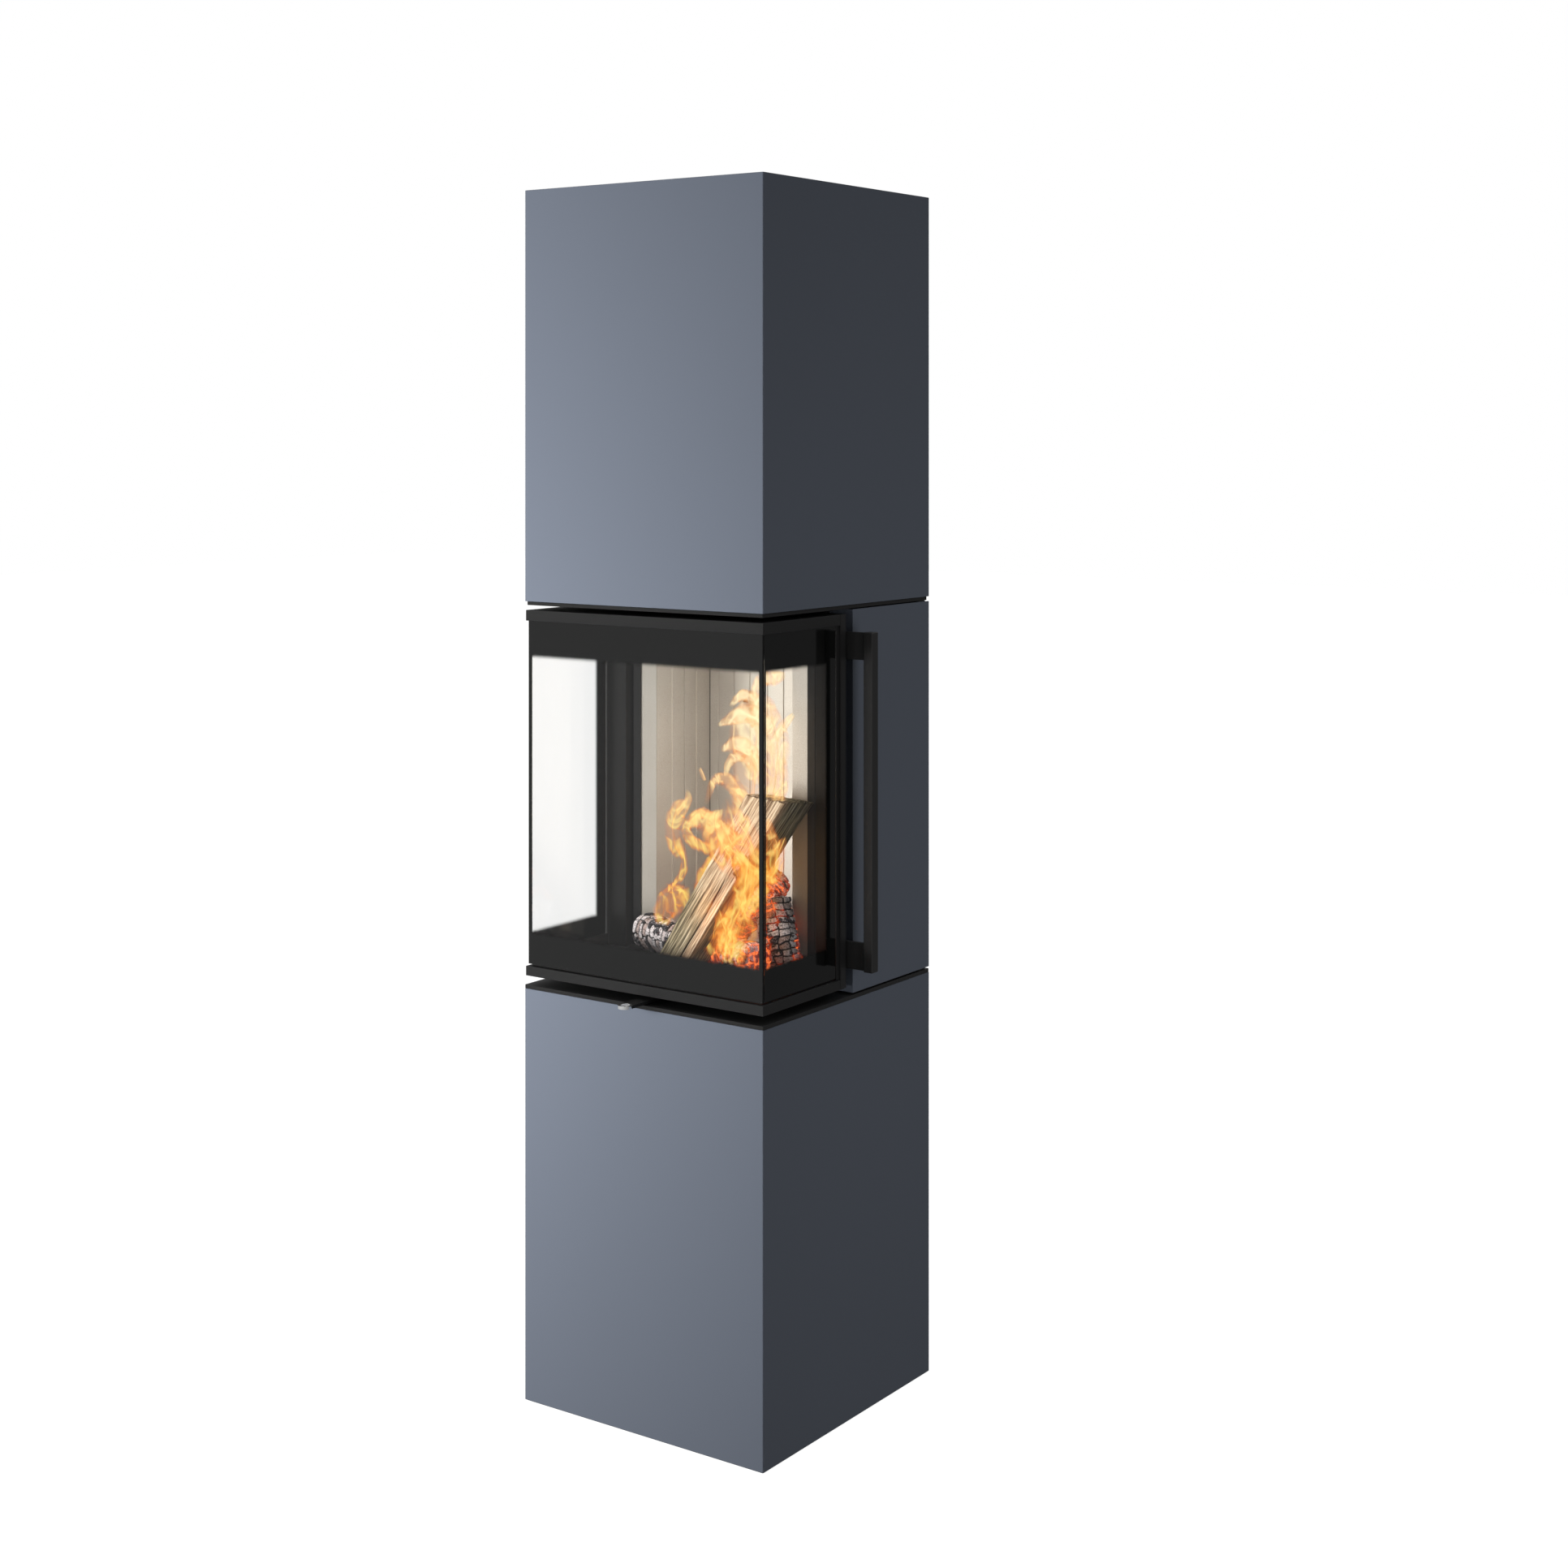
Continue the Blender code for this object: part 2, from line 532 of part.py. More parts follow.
# The firebox: shell, front frame with sealing flange and collar, hearth, linings, grate and baffle
def make_firebox(looks):
    inner = SHELL_HALF - SHELL_WALL
    shell = box_mesh((-SHELL_HALF, SHELL_FRONT_Y + FIT, SHELL_Z), (SHELL_HALF, SHELL_BACK_Y, SHELL_TOP))
    hollow = box_mesh(
        (-inner, SHELL_FRONT_Y - OVERRUN, SHELL_Z + SHELL_WALL),
        (inner, SHELL_BACK_Y - SHELL_WALL, SHELL_TOP - SHELL_WALL),
    )
    smoke = rod_mesh(0, FLUE_Y, FLUE_RADIUS - 3 * FLUE_WALL, SHELL_TOP - 2 * OVERRUN, SHELL_TOP + OVERRUN)
    under = GRATE_SIZE / 2 - GRATE_LIP
    air = box_mesh(
        (-under, GRATE_Y - under, SHELL_Z - OVERRUN), (under, GRATE_Y + under, SHELL_Z + 2 * OVERRUN)
    )
    make("firebox_shell", shell, looks["black"], cuts=[hollow, smoke, air])

    flange_half = SHELL_HALF + FLANGE_WIDTH
    flange = box_mesh((-flange_half, FLANGE_Y, DOOR_Z), (flange_half, SHELL_FRONT_Y, UPPER_PLATE_Z - FIT))
    collar_back = FLANGE_Y + SHELL_WALL / 2
    collar = box_mesh((-SHELL_HALF, COLLAR_Y, HEARTH_Z), (SHELL_HALF, collar_back, COLLAR_TOP))
    throat = box_mesh(
        (-inner, COLLAR_Y + SHELL_WALL, HEARTH_TOP),
        (inner, SHELL_FRONT_Y + OVERRUN, COLLAR_TOP - SHELL_WALL),
    )
    mouth_half = SHELL_HALF - COLLAR_LIP
    mouth = box_mesh(
        (-mouth_half, COLLAR_Y - OVERRUN, HEARTH_TOP),
        (mouth_half, COLLAR_Y + SHELL_WALL + OVERRUN, COLLAR_TOP - COLLAR_LIP),
    )
    make("firebox_front_frame", flange, looks["black"], adds=[collar], cuts=[throat, mouth])

    reach = STILE_INNER + PIVOT_X - LEDGE_SWEEP_CLEARANCE
    back = COLLAR_Y - FIT
    outline = [(-SHELL_HALF, back), (-SHELL_HALF, LEDGE_Y)]
    for step in range(LEDGE_ARC_STEPS + 1):
        y = LEDGE_Y + (back - LEDGE_Y) * step / LEDGE_ARC_STEPS
        outline.append((math.sqrt(reach**2 - (y - PIVOT_Y) ** 2) - PIVOT_X, y))
    make("hearth_ledge", prism_mesh(outline, HEARTH_TOP - LEDGE_THICKNESS, HEARTH_TOP), looks["black"])

    brick_z = SHELL_Z + SHELL_WALL + FIT
    brick_front = SHELL_FRONT_Y + FIT
    rear = SHELL_BACK_Y - SHELL_WALL - FIT
    brick = box_mesh((-LINING_HALF, brick_front, brick_z), (LINING_HALF, rear, HEARTH_TOP))
    hole = GRATE_SIZE / 2 + 2 * FIT
    well = box_mesh(
        (-hole, GRATE_Y - hole, brick_z - OVERRUN), (hole, GRATE_Y + hole, HEARTH_TOP + OVERRUN)
    )
    make("hearth_brick", brick, looks["lining"], cuts=[well])

    half = GRATE_SIZE / 2
    grate = box_mesh((-half, GRATE_Y - half, brick_z), (half, GRATE_Y + half, HEARTH_TOP))
    bars = []
    pitch = (GRATE_SIZE - 2 * GRATE_FRAME) / GRATE_SLOT_COUNT
    for number in range(GRATE_SLOT_COUNT):
        x = (number - (GRATE_SLOT_COUNT - 1) / 2) * pitch
        bars.append((
            (x - GRATE_SLOT / 2, GRATE_Y - half + GRATE_FRAME, brick_z - OVERRUN),
            (x + GRATE_SLOT / 2, GRATE_Y + half - GRATE_FRAME, HEARTH_TOP + OVERRUN),
        ))
    make("grate", grate, looks["iron"], cuts=[boxes_mesh(bars)])

    lining_z = HEARTH_TOP + FIT
    for side, name in ((-1, "side_lining_left"), (1, "side_lining_right")):
        near, far = sorted((side * CHAMBER_HALF, side * LINING_HALF))
        block = box_mesh((near, LINING_Y, lining_z), (far, rear, LINING_TOP))
        grooves = []
        for number in range(SIDE_GROOVE_COUNT):
            y = LINING_Y + SIDE_GROOVE_START + number * GROOVE_PITCH
            deep, open_face = side * (CHAMBER_HALF + GROOVE_DEPTH), side * (CHAMBER_HALF - OVERRUN)
            first, last = sorted((deep, open_face))
            grooves.append((
                (first, y - GROOVE_WIDTH / 2, lining_z - OVERRUN),
                (last, y + GROOVE_WIDTH / 2, LINING_TOP + OVERRUN),
            ))
        make(name, block, looks["lining"], cuts=[boxes_mesh(grooves)])

    back_half = CHAMBER_HALF - FIT
    block = box_mesh((-back_half, BACK_LINING_Y, lining_z), (back_half, rear, LINING_TOP))
    grooves = []
    for number in range(BACK_GROOVE_COUNT):
        x = (number - (BACK_GROOVE_COUNT - 1) / 2) * GROOVE_PITCH
        grooves.append((
            (x - GROOVE_WIDTH / 2, BACK_LINING_Y - OVERRUN, lining_z - OVERRUN),
            (x + GROOVE_WIDTH / 2, BACK_LINING_Y + GROOVE_DEPTH, LINING_TOP + OVERRUN),
        ))
    make("back_lining", block, looks["lining"], cuts=[boxes_mesh(grooves)])

    baffle_z = LINING_TOP + FIT
    baffle = box_mesh(
        (-LINING_HALF, SHELL_FRONT_Y + BAFFLE_SMOKE_GAP, baffle_z),
        (LINING_HALF, rear, baffle_z + BAFFLE_THICKNESS),
    )
    make("baffle_plate", baffle, looks["lining"])


# Smoke way: the collar on the firebox and the pipe up to the top plate
def make_flue(looks):
    seat = SHELL_TOP + FIT
    collar = rod_mesh(0, FLUE_Y, FLUE_RADIUS, seat, seat + FLUE_COLLAR_HEIGHT)
    bore = rod_mesh(0, FLUE_Y, FLUE_RADIUS - FLUE_WALL, seat - OVERRUN, seat + FLUE_COLLAR_HEIGHT + OVERRUN)
    make("flue_collar", collar, looks["iron"], cuts=[bore])
    outer = FLUE_RADIUS - FLUE_WALL - FIT
    top = COLUMN_TOP - FLUE_TOP_SINK
    pipe = rod_mesh(0, FLUE_Y, outer, seat, top)
    bore = rod_mesh(0, FLUE_Y, outer - FLUE_WALL, seat - OVERRUN, top + OVERRUN)
    make("flue_pipe", pipe, looks["black"], cuts=[bore])


# Middle section: side panels, rear panel, posts and the plate and shield over the door
def make_middle(looks):
    inner = HALF_WIDTH - PANEL_WALL
    section = [
        (HALF_WIDTH - PANEL_RETURN, PANEL_Y), (HALF_WIDTH, PANEL_Y), (HALF_WIDTH, REAR_Y), (inner, REAR_Y),
        (inner, PANEL_Y + PANEL_WALL), (HALF_WIDTH - PANEL_RETURN, PANEL_Y + PANEL_WALL),
    ]  # fmt: skip
    low = LOWER_PLATE_TOP + PANEL_LOWER_GAP
    high = UPPER_PLATE_Z - PANEL_UPPER_GAP
    make("side_panel_right", prism_mesh(section, low, high), looks["casing"], soften=EDGE_SOFTENING)
    make("side_panel_left", prism_mesh(mirrored(section), low, high), looks["casing"], soften=EDGE_SOFTENING)

    foot, head = LOWER_PLATE_TOP + FIT, UPPER_PLATE_Z - FIT
    rear = box_mesh(
        (-inner + FIT, BACK_PANEL_Y, foot), (inner - FIT, BACK_PANEL_Y + BACK_PANEL_WALL, head)
    )
    slots = vent_slots(0, head - VENT_DROP, BACK_PANEL_Y)
    make("rear_panel", rear, looks["casing"], cuts=[slots])
    for side, name in ((-1, "rear_post_left"), (1, "rear_post_right")):
        near, far = sorted((side * (inner - FIT), side * (inner - FIT - POST_SIZE)))
        post = box_mesh((near, BACK_PANEL_Y - FIT - POST_SIZE, foot), (far, BACK_PANEL_Y - FIT, head))
        make(name, post, looks["black"])

    half = HALF_WIDTH - UPPER_PLATE_INSET
    square = rectangle(half, FRONT_Y + UPPER_PLATE_INSET, REAR_Y - UPPER_PLATE_INSET)
    outline = rounded(square, CASING_ROUND)
    openings = bmesh.new()
    low, high = UPPER_PLATE_Z - OVERRUN, UPPER_PLATE_TOP + OVERRUN
    add_cylinder(openings, 0, FLUE_Y, FLUE_RADIUS + FLUE_HOLE_CLEARANCE, low, high)
    slot_y = (SHELL_BACK_Y + BACK_PANEL_Y) / 2
    add_box(
        openings,
        (-VENT_SLOT_LENGTH, slot_y - VENT_SLOT_PITCH, low),
        (VENT_SLOT_LENGTH, slot_y + VENT_SLOT_PITCH, high),
    )
    plate = prism_mesh(outline, UPPER_PLATE_Z, UPPER_PLATE_TOP)
    make("upper_plate", plate, looks["black"], cuts=[openings], soften=EDGE_SOFTENING)

    top = UPPER_PLATE_Z - FIT
    front = FRONT_Y + SHIELD_FRONT
    shield_half = HALF_WIDTH - SHIELD_SIDE
    shield = box_mesh((-shield_half, front, top - SHIELD_THICKNESS), (shield_half, FLANGE_Y - FIT, top))
    lip = box_mesh(
        (-SHIELD_LIP_HALF, front, top - SHIELD_LIP_HEIGHT), (SHIELD_LIP_HALF, front + SHIELD_THICKNESS, top)
    )
    make("door_shield", shield, looks["black"], adds=[lip])


# Upper casing with its back panel and the slotted top plate
def make_upper_casing(looks):
    sheet = rounded(channel(HALF_WIDTH, FRONT_Y, REAR_Y, CASING_WALL), CASING_ROUND)
    casing = prism_mesh(sheet, UPPER_CASING_Z, COLUMN_TOP)
    make("upper_casing", casing, looks["casing"], soften=EDGE_SOFTENING)
    plate_z = COLUMN_TOP - TOP_PLATE_THICKNESS
    panel = box_mesh(
        (-CASING_INNER_HALF, BACK_PANEL_Y, UPPER_CASING_Z),
        (CASING_INNER_HALF, BACK_PANEL_Y + BACK_PANEL_WALL, plate_z - FIT),
    )
    make("upper_back_panel", panel, looks["casing"])

    outline = rectangle(CASING_INNER_HALF, FRONT_Y + CASING_WALL + FIT, BACK_PANEL_Y + BACK_PANEL_WALL)
    holes = bmesh.new()
    low, high = plate_z - OVERRUN, COLUMN_TOP + OVERRUN
    add_cylinder(holes, 0, FLUE_Y, FLUE_RADIUS + FLUE_HOLE_CLEARANCE, low, high)
    for side in (-1, 1):
        for number in range(VENT_SLOT_COUNT):
            y = FLUE_Y - FLUE_RADIUS - (number + 2) * VENT_SLOT_PITCH
            x = side * (VENT_SLOT_LENGTH / 2 + VENT_SLOT_PITCH)
            add_box(
                holes,
                (x - VENT_SLOT_LENGTH / 2, y - VENT_SLOT_WIDTH / 2, low),
                (x + VENT_SLOT_LENGTH / 2, y + VENT_SLOT_WIDTH / 2, high),
            )
    make("top_plate", prism_mesh(outline, plate_z, COLUMN_TOP), looks["casing"], cuts=[holes])


# Door frames: shallow trays, each with a tongue that reaches back between the stiles
def frame_outline(inset):
    tongue = STILE_INNER - FIT - inset
    half = FRAME_HALF - inset
    return [
        (-half, FRAME_FRONT_Y + inset), (half, FRAME_FRONT_Y + inset), (half, FRAME_BACK_Y - inset),
        (tongue, FRAME_BACK_Y - inset), (tongue, STILE_BACK_Y - FIT - inset),
        (-tongue, STILE_BACK_Y - FIT - inset), (-tongue, FRAME_BACK_Y - inset),
        (-half, FRAME_BACK_Y - inset),
    ]  # fmt: skip


def make_door_frame(looks, door):
    pocket = frame_outline(RIM_THICKNESS)
    edge = [(x, y) for x, y in frame_outline(0)]
    bottom = prism_mesh(edge, DOOR_Z, FRAME_BOTTOM_TOP)
    cut = prism_mesh(pocket, DOOR_Z - OVERRUN, FRAME_BOTTOM_TOP - FRAME_PLATE)
    make("door_bottom_frame", bottom, looks["black"], door, cuts=[cut], soften=EDGE_SOFTENING)

    rail = box_mesh(
        (-STILE_INNER + FIT, STILE_FACE_Y, FRAME_TOP_Z - TOP_RAIL_HEIGHT),
        (STILE_INNER - FIT, STILE_BACK_Y - FIT, DOOR_TOP - FRAME_PLATE / 2),
    )
    top = prism_mesh(edge, FRAME_TOP_Z, DOOR_TOP)
    cut = prism_mesh(pocket, FRAME_TOP_Z - OVERRUN, DOOR_TOP - FRAME_PLATE)
    top_frame = make("door_top_frame", top, looks["black"], door, cuts=[cut])
    weld = top_frame.modifiers.new("top_rail", "BOOLEAN")
    weld.operation = "UNION"
    weld.solver = "EXACT"
    weld.object = hidden_tool("door_top_rail", rail)


# A stile: a channel open to the back, full height, with solid ends that are bored for a pivot
def stile_outline():
    hollow = STILE_INNER + STILE_INNER_WALL
    wall = FRAME_HALF - STILE_OUTER_WALL
    step = FRAME_HALF - STILE_STEP
    return [
        (STILE_INNER, STILE_FACE_Y), (step, STILE_FACE_Y), (step, STILE_Y), (FRAME_HALF, STILE_Y),
        (FRAME_HALF, STILE_BACK_Y), (STILE_INNER, STILE_BACK_Y),
    ], [
        (hollow, STILE_FACE_Y + STILE_FRONT_WALL), (wall, STILE_FACE_Y + STILE_FRONT_WALL),
        (wall, STILE_BACK_Y + OVERRUN), (hollow, STILE_BACK_Y + OVERRUN),
    ]  # fmt: skip


def make_stiles(looks, door):
    outline, hollow = stile_outline()
    for side, name in ((-1, "door_stile_left"), (1, "door_stile_right")):
        shape, pocket = (mirrored(outline), mirrored(hollow)) if side < 0 else (outline, hollow)
        notches = []
        spans = ((DOOR_Z - OVERRUN, FRAME_BOTTOM_TOP + FIT), (FRAME_TOP_Z - FIT, DOOR_TOP + OVERRUN))
        for low, high in spans:
            near, far = sorted((side * (STILE_INNER - OVERRUN), side * (FRAME_HALF + OVERRUN)))
            notches.append(((near, STILE_FACE_Y - OVERRUN, low), (far, STILE_Y, high)))
        sink = STILE_END if side < 0 else SHAFT_SINK
        outside = OVERRUN if side < 0 else 0
        bores = bmesh.new()
        for low, high in (
            (DOOR_Z + STILE_END - sink - outside, DOOR_Z + STILE_END + OVERRUN),
            (DOOR_TOP - STILE_END - OVERRUN, DOOR_TOP - STILE_END + sink + outside),
        ):
            add_cylinder(bores, side * PIVOT_X, PIVOT_Y, PIVOT_RADIUS + RUNNING_FIT, low, high, 24)
        cuts = [boxes_mesh(notches), prism_mesh(pocket, DOOR_Z + STILE_END, DOOR_TOP - STILE_END), bores]
        make(name, prism_mesh(shape, DOOR_Z, DOOR_TOP), looks["black"], door, cuts=cuts)


def make_glass(looks, door):
    front = box_mesh((-GLASS_HALF, GLASS_FRONT_Y, GLASS_Z), (GLASS_HALF, GLASS_BACK_Y, GLASS_TOP))
    make("front_glass", front, looks["glass"], door)
    for side, name in ((-1, "side_glass_left"), (1, "side_glass_right")):
        near, far = sorted((side * GLASS_HALF, side * (GLASS_HALF - GLASS_THICKNESS)))
        pane = box_mesh((near, GLASS_BACK_Y + FIT, GLASS_Z), (far, GLASS_REAR_Y, GLASS_TOP))
        make(name, pane, looks["glass"], door)
    half = GLASS_HALF - GLASS_THICKNESS - FIT
    strip = channel(half, GLASS_BACK_Y + FIT, GLASS_REAR_Y, RETAINER_THICKNESS)
    foot = FRAME_BOTTOM_TOP + FIT
    make("glass_retainer", prism_mesh(strip, foot, foot + RETAINER_HEIGHT), looks["black"], door)


def make_gasket(looks, door):
    half = STILE_INNER + GASKET_INSET + GASKET_WIDTH
    inner = half - GASKET_WIDTH
    low, high = DOOR_Z + GASKET_RISE, DOOR_TOP - GASKET_DROP
    face, back = STILE_BACK_Y + FIT, STILE_BACK_Y + FIT + GASKET_THICKNESS
    seal = box_mesh((-half, face, low), (half, back, high))
    hole = box_mesh(
        (-inner, face - OVERRUN, low + GASKET_WIDTH), (inner, back + OVERRUN, high - GASKET_WIDTH)
    )
    make("door_gasket", seal, looks["gasket"], door, cuts=[hole])


# Fixed pivot pins of the door, each with a shoulder that the stile runs on
def make_hinge_pins(looks):
    foot = LOWER_PLATE_TOP + FIT
    pin = rod_mesh(-PIVOT_X, PIVOT_Y, PIVOT_RADIUS, foot, DOOR_Z + PIVOT_REACH, 24)
    shoulder = rod_mesh(-PIVOT_X, PIVOT_Y, PIVOT_SHOULDER_RADIUS, foot, DOOR_Z - FIT, 24)
    make("lower_hinge_pin", pin, looks["steel"], adds=[shoulder])
    head = UPPER_PLATE_Z - SHIELD_THICKNESS - 2 * FIT
    pin = rod_mesh(-PIVOT_X, PIVOT_Y, PIVOT_RADIUS, DOOR_TOP - PIVOT_REACH, head, 24)
    shoulder = rod_mesh(-PIVOT_X, PIVOT_Y, PIVOT_SHOULDER_RADIUS, DOOR_TOP + FIT, head, 24)
    make("upper_hinge_pin", pin, looks["steel"], adds=[shoulder])


# Handle: a square bar on two flat arms that turn with the latch shaft and its two hooks
def make_handle(looks, handle):
    low = DOOR_Z + STILE_END - SHAFT_SINK + FIT
    high = DOOR_TOP - STILE_END + SHAFT_SINK - FIT
    make("latch_shaft", rod_mesh(PIVOT_X, PIVOT_Y, PIVOT_RADIUS, low, high, 24), looks["steel"], handle)

    bar_x = FRAME_HALF + HANDLE_STAND_OFF
    arm_y = STILE_BACK_Y + HANDLE_ARM_GAP
    bar_z = DOOR_Z + HANDLE_BAR_LIFT
    bar_top = DOOR_TOP - HANDLE_BAR_DROP
    middle_y = arm_y + HANDLE_ARM_THICKNESS / 2
    bar = box_mesh(
        (bar_x, middle_y - HANDLE_BAR_DEPTH / 2, bar_z),
        (bar_x + HANDLE_BAR_WIDTH, middle_y + HANDLE_BAR_DEPTH / 2, bar_top),
    )
    make("handle_bar", bar, looks["black"], handle, soften=HANDLE_BAR_BEVEL)

    hub = PIVOT_RADIUS + RUNNING_FIT + LATCH_HUB_WALL
    arm_low = bar_z + HANDLE_ARM_END_GAP
    arm_high = bar_top - HANDLE_ARM_END_GAP - HANDLE_ARM_HEIGHT
    for name, z in (("handle_arm_lower", arm_low), ("handle_arm_upper", arm_high)):
        top = z + HANDLE_ARM_HEIGHT
        arm = box_mesh((PIVOT_X - LATCH_WEB_HALF, arm_y, z), (bar_x - FIT, arm_y + HANDLE_ARM_THICKNESS, top))
        web = box_mesh((PIVOT_X - LATCH_WEB_HALF, PIVOT_Y, z), (PIVOT_X + LATCH_WEB_HALF, middle_y, top))
        ring = rod_mesh(PIVOT_X, PIVOT_Y, hub, z, top, 24)
        bore = rod_mesh(PIVOT_X, PIVOT_Y, PIVOT_RADIUS + RUNNING_FIT, z - OVERRUN, top + OVERRUN, 24)
        make(name, arm, looks["black"], handle, adds=[web, ring], cuts=[bore])

    finger_end = PIVOT_Y + LATCH_FINGER_REACH
    nose_x = PIVOT_X - LATCH_FINGER_HALF - LATCH_NOSE
    hooks = (
        ("latch_hook_lower", arm_low + HANDLE_ARM_HEIGHT + LATCH_HOOK_FROM_ARM),
        ("latch_hook_upper", arm_high - LATCH_HOOK_FROM_ARM - LATCH_HOOK_HEIGHT),
    )
    for name, z in hooks:
        top = z + LATCH_HOOK_HEIGHT
        finger_x = PIVOT_X + LATCH_FINGER_HALF
        finger = box_mesh((PIVOT_X - LATCH_FINGER_HALF, PIVOT_Y, z), (finger_x, finger_end, top))
        nose = box_mesh((nose_x, finger_end - LATCH_NOSE_LENGTH, z), (PIVOT_X, finger_end, top))
        ring = rod_mesh(PIVOT_X, PIVOT_Y, hub, z, top, 24)
        bore = rod_mesh(PIVOT_X, PIVOT_Y, PIVOT_RADIUS + RUNNING_FIT, z - OVERRUN, top + OVERRUN, 24)
        make(name, finger, looks["steel"], handle, adds=[nose, ring], cuts=[bore])
        keeper_low = z + LATCH_HOOK_HEIGHT / 2 - KEEPER_HEIGHT / 2
        keeper = box_mesh(
            (SHELL_HALF + FIT, SHELL_FRONT_Y + FIT, keeper_low),
            (nose_x - KEEPER_GAP, SHELL_FRONT_Y + FIT + KEEPER_THICKNESS, keeper_low + KEEPER_HEIGHT),
        )
        make(name.replace("latch_hook", "latch_keeper"), keeper, looks["steel"])


# Air lever: a flat bar with a ring at its tip, turning on a pin, with the damper plate under its tail
def make_lever(looks, lever):
    top = LEVER_Z + LEVER_THICKNESS
    half = LEVER_WIDTH / 2
    bar = box_mesh((-half, LEVER_RING_Y, LEVER_Z), (half, LEVER_PIVOT_Y + half, top))
    seat = rod_mesh(0, LEVER_RING_Y, half + FIT, LEVER_Z - OVERRUN, top + OVERRUN, 48)
    bore = rod_mesh(0, LEVER_PIVOT_Y, PIVOT_RADIUS + RUNNING_FIT, LEVER_Z - OVERRUN, top + OVERRUN, 24)
    make("air_lever", bar, looks["black"], lever, cuts=[seat, bore])
    ring = rod_mesh(0, LEVER_RING_Y, half, LEVER_Z - LEVER_RING_PROUD, top + LEVER_RING_PROUD, 48)
    eye = rod_mesh(0, LEVER_RING_Y, LEVER_RING_HOLE, LEVER_Z - OVERRUN, top + OVERRUN, 32)
    make("lever_ring", ring, looks["chrome"], lever, cuts=[eye], soften=EDGE_SOFTENING)

    low = LOWER_PLATE_TOP + FIT
    high = low + DAMPER_THICKNESS
    tail = DUCT_Y + AIR_HOLE_RADIUS + DAMPER_MARGIN
    outline = rounded(rectangle(DAMPER_HALF, LEVER_PIVOT_Y - DAMPER_MARGIN, tail), DAMPER_MARGIN)
    shift = (DUCT_Y - LEVER_PIVOT_Y) * math.tan(math.radians(DAMPER_TRAVEL_DEGREES))
    gate = rod_mesh(shift, DUCT_Y, AIR_HOLE_RADIUS, low - OVERRUN, high + OVERRUN, 24)
    bore = rod_mesh(0, LEVER_PIVOT_Y, PIVOT_RADIUS + RUNNING_FIT, low - OVERRUN, high + OVERRUN, 24)
    make("damper_plate", prism_mesh(outline, low, high), looks["steel"], lever, cuts=[gate, bore])

    pin = rod_mesh(0, LEVER_PIVOT_Y, PIVOT_RADIUS, low, top + 2 * DAMPER_THICKNESS, 24)
    head = rod_mesh(0, LEVER_PIVOT_Y, PIVOT_SHOULDER_RADIUS, top + FIT, top + 2 * DAMPER_THICKNESS, 24)
    make("damper_pivot_pin", pin, looks["steel"], adds=[head])


# Firewood: split and charred logs, each seated on the hearth at its lowest point
def hearth_point(shares, height):
    return Vector((shares[0] * CHAMBER_HALF, LEDGE_Y + shares[1] * HEARTH_DEPTH, height))


def split_reach(angle):
    reach = 1.0
    for facing, share in SPLIT_FACES.items():
        lean = math.cos(angle - math.radians(facing))
        if lean > share:
            reach = min(reach, share / lean)
    return reach


def make_logs(looks):
    clear_height = FRAME_TOP_Z - FRAME_BOTTOM_TOP
    for number, name in enumerate(LOG_FOOT_SHARES):
        split = name == "log_leaning"
        radius = LOG_RADIUS_SHARES[name] * CHAMBER_HALF
        foot = hearth_point(LOG_FOOT_SHARES[name], 0)
        head = hearth_point(LOG_HEAD_SHARES[name], LOG_RISE_SHARES[name] * clear_height)
        along = head - foot
        turn = along.to_track_quat("Z", "Y").to_matrix().to_4x4()
        bm = bmesh.new()
        sides = SPLIT_LOG_SIDES if split else LOG_SIDES
        foot_radius = radius * (SPLIT_FOOT_SHARE if split else 1.0)
        bmesh.ops.create_cone(
            bm, cap_ends=True, segments=sides, radius1=foot_radius, radius2=radius, depth=along.length
        )
        for vert in bm.verts:
            angle = math.atan2(vert.co.y, vert.co.x)
            reach = split_reach(angle) if split else 1.0 + LOG_ROUGHNESS_SHARE * math.sin(3 * angle + number)
            vert.co.x *= reach
            vert.co.y *= reach
            if split and vert.co.z > 0:
                vert.co.z -= SPLIT_END_SLANT * vert.co.y
        bmesh.ops.transform(bm, matrix=Matrix.Translation((foot + head) / 2) @ turn, verts=bm.verts)
        lowest = min(vert.co.z for vert in bm.verts)
        bmesh.ops.translate(bm, vec=(0, 0, HEARTH_TOP + FIT - lowest), verts=bm.verts)
        make(name, bm, looks["wood"] if split else looks["char"])


for old in list(bpy.data.objects):
    bpy.data.objects.remove(old, do_unlink=True)

looks = make_finishes()
door_axis = axis_at("door_axis", -PIVOT_X, PIVOT_Y, DOOR_Z)
handle_axis = axis_at("handle_axis", PIVOT_X, PIVOT_Y, DOOR_Z)
lever_axis = axis_at("lever_axis", 0, LEVER_PIVOT_Y, LEVER_Z)
make_pedestal(looks)
make_air_box(looks)
make_firebox(looks)
make_flue(looks)
make_middle(looks)
make_upper_casing(looks)
make_door_frame(looks, door_axis)
make_stiles(looks, door_axis)
make_glass(looks, door_axis)
make_gasket(looks, door_axis)
make_hinge_pins(looks)
make_handle(looks, handle_axis)
make_lever(looks, lever_axis)
make_logs(looks)
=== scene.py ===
import math

import bmesh
import bpy
from mathutils import Matrix, Vector, noise


